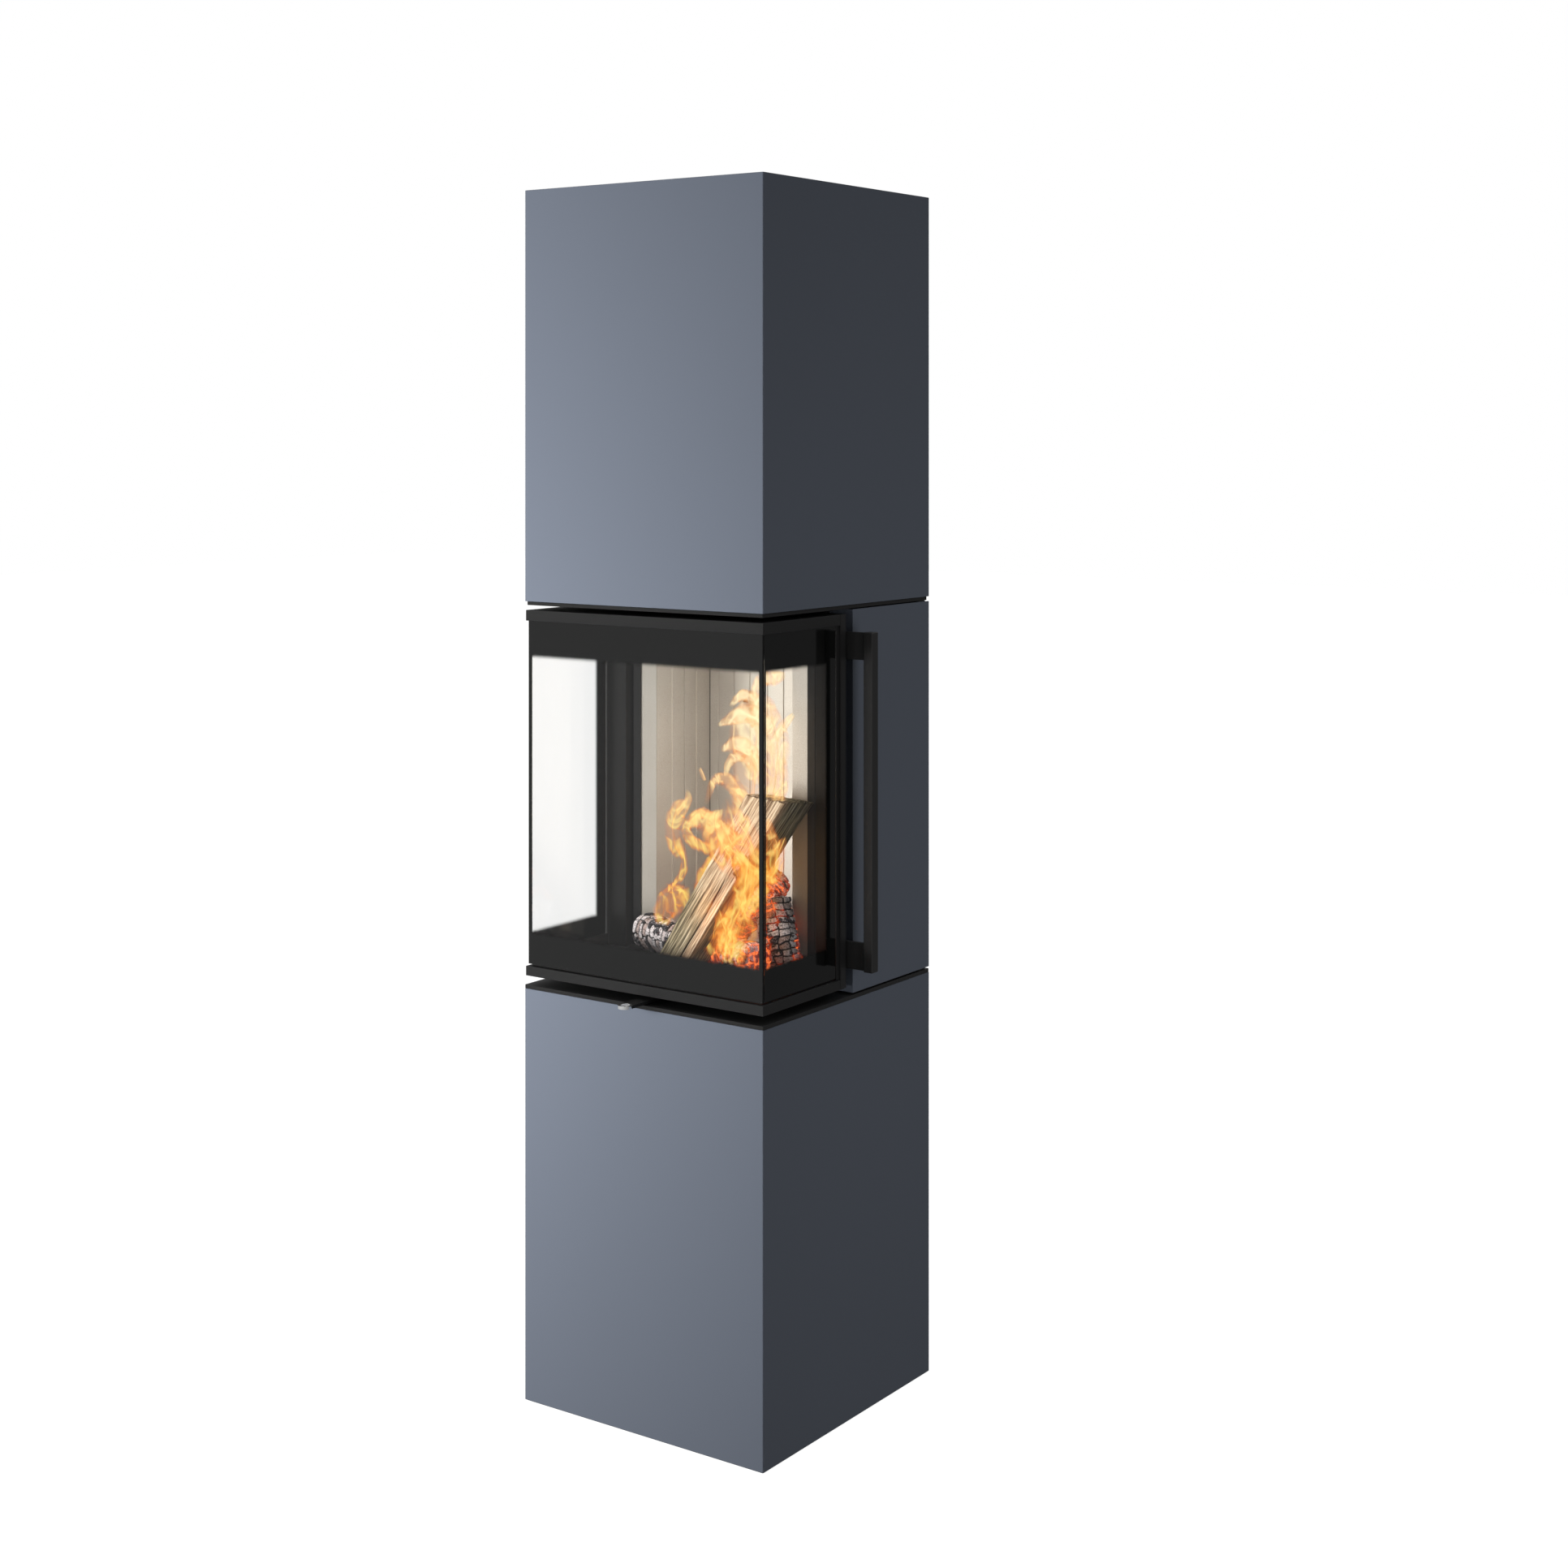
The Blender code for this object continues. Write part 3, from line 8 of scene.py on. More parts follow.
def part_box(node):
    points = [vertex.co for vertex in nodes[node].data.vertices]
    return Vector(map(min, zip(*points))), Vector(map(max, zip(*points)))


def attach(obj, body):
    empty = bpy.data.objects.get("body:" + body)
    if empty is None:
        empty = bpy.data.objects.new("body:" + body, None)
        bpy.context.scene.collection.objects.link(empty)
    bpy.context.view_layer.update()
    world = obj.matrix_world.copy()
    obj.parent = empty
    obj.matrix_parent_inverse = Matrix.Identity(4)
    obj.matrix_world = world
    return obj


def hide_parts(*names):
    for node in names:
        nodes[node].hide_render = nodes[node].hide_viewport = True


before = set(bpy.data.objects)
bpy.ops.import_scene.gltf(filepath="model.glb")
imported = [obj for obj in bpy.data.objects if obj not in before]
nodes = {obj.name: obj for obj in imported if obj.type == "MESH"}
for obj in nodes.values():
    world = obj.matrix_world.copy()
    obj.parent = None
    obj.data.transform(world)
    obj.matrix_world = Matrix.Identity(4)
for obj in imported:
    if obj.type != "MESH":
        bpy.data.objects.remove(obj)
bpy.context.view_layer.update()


# Camera, floor and light
# A level camera with a shifted lens, as the photograph has, so upright edges stay parallel. A pale floor
# and a white room, with soft lamps at the left of the front, at the right and behind.
CAMERA_PLACE = (2.31969, -3.14407, 1.58032)
CAMERA_YAW = 35.102
CAMERA_LENS = 53.983
CAMERA_SHIFT = -0.22280
SENSOR_WIDTH = 36
ROOM_WHITE = 1.0
ROOM_DIM = 0.035
ROOM_SHINE = 0.29
ROOM_SHINE_TURN = 0.21
ROOM_SHINE_TOP = 1.0
ROOM_TOP_SLOPE = 3.0
ROOM_TOP_START = -1.5
ROOM_LIGHT_SIDE = (-0.59, -0.81, 0)
FIRST_BOUNCE = 0.5
FLOOR_COLOR = (0.2, 0.2, 0.2, 1)
FLOOR_REACH = 20
FLOOR_DIM = 0.97
FLOOR_DIM_TO = 0.3
FLOOR_WHITE_FROM = 1.6
WHITE = (1, 1, 1, 1)
LAMP_COLOR = (1, 0.99, 0.97)

camera = bpy.data.objects.new("camera", bpy.data.cameras.new("camera"))
bpy.context.scene.collection.objects.link(camera)
camera.location = CAMERA_PLACE
camera.rotation_euler = (math.radians(90), 0, math.radians(CAMERA_YAW))
camera.data.sensor_width = SENSOR_WIDTH
camera.data.lens = CAMERA_LENS
camera.data.shift_y = CAMERA_SHIFT
bpy.context.scene.camera = camera
bpy.context.scene.view_settings.view_transform = "Standard"


def place(tree, kind, values=(), **settings):
    made = tree.nodes.new(kind)
    for name, value in settings.items():
        setattr(made, name, value)
    for name, value in dict(values).items():
        if isinstance(value, bpy.types.NodeSocket):
            tree.links.new(value, made.inputs[name])
        else:
            made.inputs[name].default_value = value
    return made


def work(tree, operation, *values, clamp=False):
    settings = {"operation": operation, "use_clamp": clamp}
    return place(tree, "ShaderNodeMath", dict(enumerate(values)), **settings).outputs[0]


def scaled(tree, value, low, high, at_low=0.0, at_high=1.0, soft=False):
    curve = "SMOOTHSTEP" if soft else "LINEAR"
    values = dict(enumerate((value, low, high, at_low, at_high)))
    return place(tree, "ShaderNodeMapRange", values, interpolation_type=curve).outputs[0]


def blend(tree, share, first, second):
    made = place(tree, "ShaderNodeMix", data_type="RGBA")
    for socket, value in zip((0, 6, 7), (share, first, second)):
        if isinstance(value, bpy.types.NodeSocket):
            tree.links.new(value, made.inputs[socket])
        else:
            made.inputs[socket].default_value = value
    return made.outputs[2]


world = bpy.data.worlds.new("white_room")
bpy.context.scene.world = world
world.use_nodes = True
world.node_tree.nodes.clear()
rays = place(world.node_tree, "ShaderNodeLightPath")
bounced = work(world.node_tree, "ADD", rays.outputs["Diffuse Depth"], rays.outputs["Glossy Depth"])
straight = work(world.node_tree, "LESS_THAN", bounced, FIRST_BOUNCE)
looked_at = place(world.node_tree, "ShaderNodeTexCoord").outputs["Generated"]
toward = place(
    world.node_tree, "ShaderNodeVectorMath", {0: looked_at, 1: ROOM_LIGHT_SIDE}, operation="DOT_PRODUCT"
).outputs["Value"]
height = place(world.node_tree, "ShaderNodeSeparateXYZ", {0: looked_at}).outputs[2]
upper = work(world.node_tree, "MULTIPLY_ADD", height, ROOM_TOP_SLOPE, ROOM_TOP_START, clamp=True)
shine = work(world.node_tree, "MULTIPLY_ADD", toward, ROOM_SHINE_TURN, ROOM_SHINE)
shine = work(world.node_tree, "MULTIPLY_ADD", upper, ROOM_SHINE_TOP, shine)
shine = work(world.node_tree, "MULTIPLY", shine, rays.outputs["Is Glossy Ray"])
dim = work(world.node_tree, "ADD", shine, ROOM_DIM)
seen = work(world.node_tree, "MULTIPLY", straight, ROOM_WHITE)
strength = work(world.node_tree, "MAXIMUM", seen, dim)
backdrop = place(world.node_tree, "ShaderNodeBackground", {"Color": WHITE, "Strength": strength})
place(world.node_tree, "ShaderNodeOutputWorld", {"Surface": backdrop.outputs[0]})


def new_material(name, **values):
    material = bpy.data.materials.new(name)
    material.use_nodes = True
    shader = material.node_tree.nodes["Principled BSDF"]
    for socket, value in values.items():
        shader.inputs[socket.replace("_", " ")].default_value = value
    return material, material.node_tree, shader


def object_from(name, bm, material):
    mesh = bpy.data.meshes.new(name)
    bm.to_mesh(mesh)
    bm.free()
    mesh.materials.append(material)
    made = bpy.data.objects.new(name, mesh)
    bpy.context.scene.collection.objects.link(made)
    return made


floor_paint, floor_tree, floor_shader = new_material("pale_floor", Roughness=0.9)
floor_shader.inputs["Base Color"].default_value = FLOOR_COLOR
floor_shader.inputs["Emission Color"].default_value = WHITE
floor_spot = place(floor_tree, "ShaderNodeTexCoord").outputs["Object"]
floor_reach = place(floor_tree, "ShaderNodeVectorMath", {0: floor_spot}, operation="LENGTH")
floor_glow = scaled(
    floor_tree, floor_reach.outputs["Value"], FLOOR_DIM_TO, FLOOR_WHITE_FROM, FLOOR_DIM, 1.0
)
floor_rays = place(floor_tree, "ShaderNodeLightPath").outputs
floor_bounced = work(floor_tree, "ADD", floor_rays["Diffuse Depth"], floor_rays["Glossy Depth"])
floor_straight = work(floor_tree, "LESS_THAN", floor_bounced, FIRST_BOUNCE)
floor_seen = work(floor_tree, "MULTIPLY", floor_glow, floor_straight)
floor_tree.links.new(floor_seen, floor_shader.inputs["Emission Strength"])
floor_mesh = bmesh.new()
bmesh.ops.create_grid(floor_mesh, x_segments=1, y_segments=1, size=FLOOR_REACH)
floor = object_from("floor", floor_mesh, floor_paint)
floor.visible_diffuse = False
floor.visible_glossy = False


def soft_lamp(name, spot, aim, size, power):
    data = bpy.data.lights.new(name, "AREA")
    data.shape = "DISK"
    data.size = size
    data.energy = power
    data.color = LAMP_COLOR
    lamp = bpy.data.objects.new(name, data)
    bpy.context.scene.collection.objects.link(lamp)
    lamp.location = spot
    lamp.rotation_euler = (Vector(aim) - Vector(spot)).to_track_quat("-Z", "Y").to_euler()
    lamp.visible_camera = False
    lamp.visible_transmission = False
    lamp.visible_glossy = False


soft_lamp("lamp_front_left", spot=(-1.30, -1.95, 0.85), aim=(-1.31, -0.24, 1.5), size=1.2, power=126)
soft_lamp("lamp_right", spot=(2.46, -0.35, 0.84), aim=(0.24, 1.5, 1.5), size=1.6, power=17.2)
soft_lamp("lamp_back", spot=(0.0, 2.70, 1.25), aim=(0.0, 0.24, 1.0), size=0.4, power=42)


# Painted casings: lower and upper casing, middle side panels, back panels and slotted top
# Folded 2 mm steel sheet, sprayed with a fine powder coat in blue grey and baked. The coat has a faint
# orange-peel skin, a soft sheen, and a small radius along every fold.
CASING_COLOR = (0.112, 0.129, 0.164, 1)
CASING_TONE = 0.06
CASING_ROUGHNESS = 0.5
CASING_SKIN = 0.0022
CASING_SKIN_DEPTH = 0.00003
CASING_EDGE = 0.0009
CLOUD_SCALE = 4.0
CLOUD_SHARE = 0.6
SPECK_SCALE = 900.0
SPECK_SHARE = 0.4
ROUGHNESS_SPREAD = 0.12
WELD_REACH = 0.00002
FLAT_ANGLE = math.radians(1)
FOLD_ANGLE = math.radians(40)


def new_group(name, inputs, outputs):
    group = bpy.data.node_groups.new(name, "ShaderNodeTree")
    for socket, kind, value in inputs:
        made = group.interface.new_socket(socket, in_out="INPUT", socket_type="NodeSocket" + kind)
        made.default_value = value
    for socket, kind in outputs:
        group.interface.new_socket(socket, in_out="OUTPUT", socket_type="NodeSocket" + kind)
    start = group.nodes.new("NodeGroupInput")
    end = group.nodes.new("NodeGroupOutput")
    return group, start, end


def shaded(tree, color, share):
    return place(tree, "ShaderNodeVectorMath", {0: color, "Scale": share}, operation="SCALE").outputs[0]


def sprayed_coat_group():
    group, start, end = new_group(
        "sprayed_coat",
        [
            ("Color", "Color", (0.5, 0.5, 0.5, 1)),
            ("Tone", "Float", 0.05),
            ("Roughness", "Float", 0.5),
            ("Pitch", "Float", 0.002),
        ],
        [("Color", "Color"), ("Roughness", "Float"), ("Height", "Float")],
    )
    spot = place(group, "ShaderNodeTexCoord").outputs["Object"]
    fine = work(group, "DIVIDE", 1.0, start.outputs["Pitch"])
    skin = place(group, "ShaderNodeTexNoise", {"Vector": spot, "Scale": fine, "Detail": 2.0})
    cloud = place(group, "ShaderNodeTexNoise", {"Vector": spot, "Scale": CLOUD_SCALE, "Detail": 3.0})
    speck = place(group, "ShaderNodeTexNoise", {"Vector": spot, "Scale": SPECK_SCALE, "Detail": 1.0})
    centred = work(group, "MULTIPLY_ADD", cloud.outputs["Fac"], CLOUD_SHARE, -0.5)
    centred = work(group, "MULTIPLY_ADD", speck.outputs["Fac"], SPECK_SHARE, centred)
    shade = work(group, "MULTIPLY_ADD", centred, start.outputs["Tone"], 1.0)
    rough = work(group, "MULTIPLY_ADD", centred, ROUGHNESS_SPREAD, start.outputs["Roughness"])
    group.links.new(shaded(group, start.outputs["Color"], shade), end.inputs["Color"])
    group.links.new(rough, end.inputs["Roughness"])
    group.links.new(skin.outputs["Fac"], end.inputs["Height"])
    return group


sprayed_coat = sprayed_coat_group()


def bump_from(tree, shader, height, depth):
    bump = place(tree, "ShaderNodeBump", {"Height": height, "Distance": depth})
    tree.links.new(bump.outputs["Normal"], shader.inputs["Normal"])


def coated_material(name, color, tone, roughness, pitch, depth):
    material, tree, shader = new_material(name)
    values = {"Color": color, "Tone": tone, "Roughness": roughness, "Pitch": pitch}
    coat = place(tree, "ShaderNodeGroup", node_tree=sprayed_coat)
    for socket, value in values.items():
        coat.inputs[socket].default_value = value
    tree.links.new(coat.outputs["Color"], shader.inputs["Base Color"])
    tree.links.new(coat.outputs["Roughness"], shader.inputs["Roughness"])
    bump_from(tree, shader, coat.outputs["Height"], depth)
    return material


def dress(material, names, edge=0.0006):
    for name in names:
        node = nodes[name]
        node.data.materials.clear()
        node.data.materials.append(material)
        if edge:
            weld = node.modifiers.new("weld", "WELD")
            weld.merge_threshold = WELD_REACH
            flat = node.modifiers.new("flat", "DECIMATE")
            flat.decimate_type = "DISSOLVE"
            flat.angle_limit = FLAT_ANGLE
            bevel = node.modifiers.new("edge", "BEVEL")
            bevel.width = edge
            bevel.segments = 2
            bevel.limit_method = "ANGLE"
            bevel.angle_limit = FOLD_ANGLE


casing_paint = coated_material(
    "casing_paint", CASING_COLOR, CASING_TONE, CASING_ROUGHNESS, CASING_SKIN, CASING_SKIN_DEPTH
)
CASING_PIECES = (
    "lower_casing", "upper_casing", "side_panel_left", "side_panel_right",
    "rear_panel", "lower_back_panel", "upper_back_panel", "top_plate",
)
dress(casing_paint, CASING_PIECES, edge=CASING_EDGE)


# Black steel: base, plates, firebox, frames, stiles, handle and lever
# Laser-cut and welded steel in matt black stove paint, which is baked on and slightly rough. The handle is
# painted a little paler than the rest.
STOVE_BLACK = (0.0090, 0.0090, 0.0091, 1)
HANDLE_BLACK = (0.016, 0.016, 0.0162, 1)
STOVE_TONE = 0.10
STOVE_ROUGHNESS = 0.52
STOVE_SKIN = 0.0012
STOVE_SKIN_DEPTH = 0.00004
STOVE_FINISH = (STOVE_TONE, STOVE_ROUGHNESS, STOVE_SKIN, STOVE_SKIN_DEPTH)
stove_paint = coated_material("stove_paint", STOVE_BLACK, *STOVE_FINISH)
BLACK_PIECES = (
    "base_plate", "pedestal_support_left", "pedestal_support_right", "lower_plate", "upper_plate",
    "air_box", "firebox_shell", "firebox_front_frame", "hearth_ledge", "rear_post_left",
    "rear_post_right", "door_shield", "door_bottom_frame", "door_top_frame", "door_stile_left",
    "door_stile_right", "glass_retainer", "air_lever",
)
dress(stove_paint, BLACK_PIECES)
handle_paint = coated_material("handle_paint", HANDLE_BLACK, *STOVE_FINISH)
dress(handle_paint, ("handle_bar", "handle_arm_lower", "handle_arm_upper"))
dress(stove_paint, ("flue_pipe",), edge=0)


# Zinc-coated steel: levelling screws, air duct, hinge pins, latch and damper
# Bright zinc that has dulled a little, with the flat crystals that the hot bath leaves.
ZINC_DARK = (0.36, 0.37, 0.38, 1)
ZINC_PALE = (0.50, 0.51, 0.52, 1)
ZINC_ROUGHNESS = 0.30
ZINC_ROUGHNESS_SPREAD = 0.25
CRYSTAL_SCALE = 90.0
zinc_steel, zinc_tree, zinc_shader = new_material("zinc_steel", Metallic=1.0)
zinc_spot = place(zinc_tree, "ShaderNodeTexCoord").outputs["Object"]
zinc_patch = place(zinc_tree, "ShaderNodeTexVoronoi", {"Vector": zinc_spot, "Scale": CRYSTAL_SCALE})
zinc_color = blend(zinc_tree, zinc_patch.outputs["Color"], ZINC_DARK, ZINC_PALE)
zinc_tree.links.new(zinc_color, zinc_shader.inputs["Base Color"])
zinc_rough = work(
    zinc_tree, "MULTIPLY_ADD", zinc_patch.outputs["Distance"], ZINC_ROUGHNESS_SPREAD, ZINC_ROUGHNESS
)
zinc_tree.links.new(zinc_rough, zinc_shader.inputs["Roughness"])
ZINC_PIECES = (
    "levelling_screw_1", "levelling_screw_2", "levelling_screw_3", "levelling_screw_4",
    "air_intake_duct", "lower_hinge_pin", "upper_hinge_pin", "latch_shaft", "latch_hook_lower",
    "latch_hook_upper", "latch_keeper_lower", "latch_keeper_upper", "damper_pivot_pin", "damper_plate",
)
dress(zinc_steel, ZINC_PIECES, edge=0)


# Cast iron: grate and flue collar
# Sand cast, so the skin is grainy, and it stays dark and dull.
IRON_COLOR = (0.030, 0.029, 0.028, 1)
IRON_TONE = 0.35
IRON_ROUGHNESS = 0.72
IRON_GRAIN = 0.0016
IRON_GRAIN_DEPTH = 0.00035
cast_iron = coated_material(
    "cast_iron", IRON_COLOR, IRON_TONE, IRON_ROUGHNESS, IRON_GRAIN, IRON_GRAIN_DEPTH
)
dress(cast_iron, ("grate", "flue_collar"), edge=0)


# Lever ring
# A turned ring in bright chrome at the lever's tip.
CHROME_COLOR = (0.96, 0.965, 0.97, 1)
CHROME_ROUGHNESS = 0.10
CHROME_ROUGHNESS_SPREAD = 0.12
CHROME_LINES = 1500.0
chrome, chrome_tree, chrome_shader = new_material("chrome", Metallic=1.0)
chrome_spot = place(chrome_tree, "ShaderNodeTexCoord").outputs["Object"]
chrome_lines = place(chrome_tree, "ShaderNodeTexNoise", {"Vector": chrome_spot, "Scale": CHROME_LINES})
chrome_rough = work(
    chrome_tree, "MULTIPLY_ADD", chrome_lines.outputs["Fac"], CHROME_ROUGHNESS_SPREAD, CHROME_ROUGHNESS
)
chrome_tree.links.new(chrome_rough, chrome_shader.inputs["Roughness"])
chrome_shader.inputs["Base Color"].default_value = CHROME_COLOR
dress(chrome, ("lever_ring",), edge=0)


# Door seal
# A flat woven glass-fibre tape, charcoal grey, glued round the frame behind the door.
SEAL_DARK = (0.012, 0.012, 0.012, 1)
SEAL_PALE = (0.05, 0.048, 0.045, 1)
WEAVE_SCALE = 160.0
WEAVE_DEPTH = 0.0004
woven_seal, seal_tree, seal_shader = new_material("woven_seal", Roughness=0.95)
seal_spot = place(seal_tree, "ShaderNodeTexCoord").outputs["Object"]
seal_weave = place(
    seal_tree, "ShaderNodeTexWave", {"Vector": seal_spot, "Scale": WEAVE_SCALE, "Distortion": 1.5}
)
seal_color = blend(seal_tree, seal_weave.outputs["Fac"], SEAL_DARK, SEAL_PALE)
seal_tree.links.new(seal_color, seal_shader.inputs["Base Color"])
bump_from(seal_tree, seal_shader, seal_weave.outputs["Fac"], WEAVE_DEPTH)
dress(woven_seal, ("door_gasket",), edge=0)


# Linings: side and back boards, hearth brick and baffle
# Pressed vermiculite board, pale beige with small flakes, milled with upright grooves. Painted shade darkens
# the front strip of the left board and the corners, the rear of the boards is painted lighter as painted
# light, and each side-board groove has a painted shaded flank and a painted lit flank.
LINING_COLOR = (0.41, 0.388, 0.350, 1)
LINING_FLAKE = (0.30, 0.27, 0.23, 1)
FLAKE_SCALE = 420.0
FLAKE_SHARE = 0.9
FLAKE_DEPTH = 0.0003
BOARD_CLOUD_SCALE = 14.0
STRIP_SHADE_SHARE = 0.60
STRIP_SHADE_FROM = -0.0198
STRIP_SHADE_TO = -0.0185
BACK_LIGHT_SHARE = 1.12
BACK_LIGHT_FROM = 0.085
BACK_LIGHT_TO = 0.125
CORNER_SHADE_SHARE = 0.35
CORNER_NEAR = 0.0006
CORNER_FAR = 0.0022
GROOVE_START = 0.0437
GROOVE_PITCH = 0.0338
GROOVE_SHADE = -0.38
GROOVE_LIT = 0.32
GROOVE_SHADE_FLANK = -0.022
GROOVE_LIT_FLANK = 0.004
GROOVE_SINK_FROM = -0.0001
GROOVE_SINK_TO = -0.0006
GROOVELESS_FRONT = 0.02
PLAIN_GROOVE = 1.0
lining_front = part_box("side_lining_right")[0].y
chamber_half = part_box("side_lining_right")[0].x
chamber_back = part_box("back_lining")[0].y
firebrick, brick_tree, brick_shader = new_material("firebrick", Roughness=0.9)
brick_spot = place(brick_tree, "ShaderNodeTexCoord").outputs["Object"]
brick_flakes = place(brick_tree, "ShaderNodeTexVoronoi", {"Vector": brick_spot, "Scale": FLAKE_SCALE})
brick_cloud = place(
    brick_tree, "ShaderNodeTexNoise", {"Vector": brick_spot, "Scale": BOARD_CLOUD_SCALE, "Detail": 5.0}
)
brick_mask = work(brick_tree, "MULTIPLY", brick_flakes.outputs["Distance"], brick_cloud.outputs["Fac"])
brick_mask = work(brick_tree, "MULTIPLY", brick_mask, FLAKE_SHARE, clamp=True)
brick_color = blend(brick_tree, brick_mask, LINING_COLOR, LINING_FLAKE)
brick_axes = place(brick_tree, "ShaderNodeSeparateXYZ", {0: brick_spot})
brick_right = work(brick_tree, "MAXIMUM", brick_axes.outputs[0], 0.0)
brick_depth = work(brick_tree, "ADD", brick_axes.outputs[1], brick_right)
# Painted shade: the front strip of the left board is darkened to 0.6 of its colour.
brick_strip_shade = scaled(brick_tree, brick_depth, STRIP_SHADE_FROM, STRIP_SHADE_TO, STRIP_SHADE_SHARE, 1.0)
# Painted light: the rear of the boards and the back board are painted 12 % lighter.
brick_back_light = scaled(brick_tree, brick_axes.outputs[1], BACK_LIGHT_FROM, BACK_LIGHT_TO, 1.0, BACK_LIGHT_SHARE)
brick_painted_light = work(brick_tree, "MULTIPLY", brick_strip_shade, brick_back_light)
brick_out = work(brick_tree, "ABSOLUTE", brick_axes.outputs[0])
brick_inward = work(brick_tree, "SUBTRACT", chamber_half, brick_out)
brick_near = work(brick_tree, "SUBTRACT", chamber_back, brick_axes.outputs[1])
# Painted shade: the boards darken within about 2 mm of the back corners.
brick_corner_shade = work(brick_tree, "MAXIMUM", brick_inward, brick_near)
brick_corner_shade = scaled(brick_tree, brick_corner_shade, CORNER_NEAR, CORNER_FAR, CORNER_SHADE_SHARE, 1.0)
brick_painted_light = work(brick_tree, "MULTIPLY", brick_painted_light, brick_corner_shade)
groove = work(brick_tree, "SUBTRACT", brick_axes.outputs[1], lining_front + GROOVE_START)
groove = work(brick_tree, "DIVIDE", groove, GROOVE_PITCH)
groove_number = work(brick_tree, "ROUND", groove)
groove_place = work(brick_tree, "SUBTRACT", groove, groove_number)
# Painted shade on the front half of each side-board groove, painted highlight on its rear half and lit flank.
groove_light_and_shade = scaled(
    brick_tree, groove_place, GROOVE_SHADE_FLANK, GROOVE_LIT_FLANK, GROOVE_SHADE, GROOVE_LIT
)
groove_other = work(brick_tree, "SUBTRACT", groove_number, PLAIN_GROOVE)
groove_other = work(brick_tree, "ABSOLUTE", groove_other, clamp=True)
groove_behind = work(brick_tree, "GREATER_THAN", brick_axes.outputs[1], lining_front + GROOVELESS_FRONT)
groove_mask = scaled(brick_tree, brick_inward, GROOVE_SINK_FROM, GROOVE_SINK_TO)
groove_mask = work(brick_tree, "MULTIPLY", groove_mask, groove_other)
groove_mask = work(brick_tree, "MULTIPLY", groove_mask, groove_behind)
groove_painted_light = work(brick_tree, "MULTIPLY_ADD", groove_light_and_shade, groove_mask, 1.0)
brick_painted_light = work(brick_tree, "MULTIPLY", brick_painted_light, groove_painted_light)
brick_seen = shaded(brick_tree, brick_color, brick_painted_light)
brick_tree.links.new(brick_seen, brick_shader.inputs["Base Color"])
bump_from(brick_tree, brick_shader, brick_flakes.outputs["Distance"], FLAKE_DEPTH)
LINING_PIECES = ("side_lining_left", "side_lining_right", "back_lining", "hearth_brick", "baffle_plate")
dress(firebrick, LINING_PIECES)


# Glass: front pane and two side panes
# Flat 4 mm glass ceramic, faintly warm, with ground edges. Light falls through it.
GLASS_TINT = (0.985, 0.985, 0.98, 1)
clear_glass, _, glass_shader = new_material(
    "clear_glass", Roughness=0.0, IOR=1.45, Transmission_Weight=1.0
)
glass_shader.inputs["Base Color"].default_value = GLASS_TINT
PANES = ("front_glass", "side_glass_left", "side_glass_right")
dress(clear_glass, PANES, edge=0)
for pane in PANES:
    nodes[pane].visible_shadow = False


# Printed borders on the panes
# Glossy black enamel, screen printed and fired on the face. It ends in rows of dots that shrink towards
# the clear part. Each print is a skin of 0.05 mm on its pane.
ENAMEL_BLACK = (0.002, 0.0021, 0.002, 1)
ENAMEL_ROUGHNESS = 0.06
ENAMEL_ROUGHNESS_SPREAD = 0.04
ENAMEL_GRAIN = 700.0
PRINT_BOTTOM = 0.7725
PRINT_TOP = 1.2115
PRINT_FADE = 0.011
DOT_PITCH = 0.0026
DOT_FULL = 0.75
DOT_SHARPNESS = 12.0
SKIN_GAP = 0.0001
SKIN_THICKNESS = 0.00005
CORNER_LINE = 0.0065
CORNER_LINE_SIDE = 0.0045
REAR_BORDER = 0.033


def dot_fade_group():
    group, start, end = new_group(
        "dot_fade",
        [("Depth", "Float", 0.0), ("Fade", "Float", 0.01), ("Pitch", "Float", 0.003)],
        [("Alpha", "Float")],
    )
    spot = place(group, "ShaderNodeTexCoord").outputs["Object"]
    scale = work(group, "DIVIDE", 1.0, start.outputs["Pitch"])
    flat = place(group, "ShaderNodeVectorMath", {0: spot, "Scale": scale}, operation="SCALE")
    axes = place(group, "ShaderNodeSeparateXYZ", {0: flat.outputs[0]})
    side = work(group, "ADD", axes.outputs[0], axes.outputs[1])
    centres = []
    for operation in ("ADD", "SUBTRACT"):
        value = work(group, operation, side, axes.outputs[2])
        value = work(group, "MULTIPLY", value, math.sqrt(0.5))
        centres.append(work(group, "SUBTRACT", work(group, "FRACT", value), 0.5))
    across = work(group, "POWER", centres[0], 2.0)
    upright = work(group, "POWER", centres[1], 2.0)
    distance = work(group, "SQRT", work(group, "ADD", across, upright))
    share = work(group, "DIVIDE", start.outputs["Depth"], start.outputs["Fade"], clamp=True)
    radius = work(group, "MULTIPLY", share, DOT_FULL)
    edge = work(group, "SUBTRACT", radius, distance)
    alpha = work(group, "MULTIPLY", edge, DOT_SHARPNESS, clamp=True)
    group.links.new(alpha, end.inputs["Alpha"])
    return group


dot_fade = dot_fade_group()


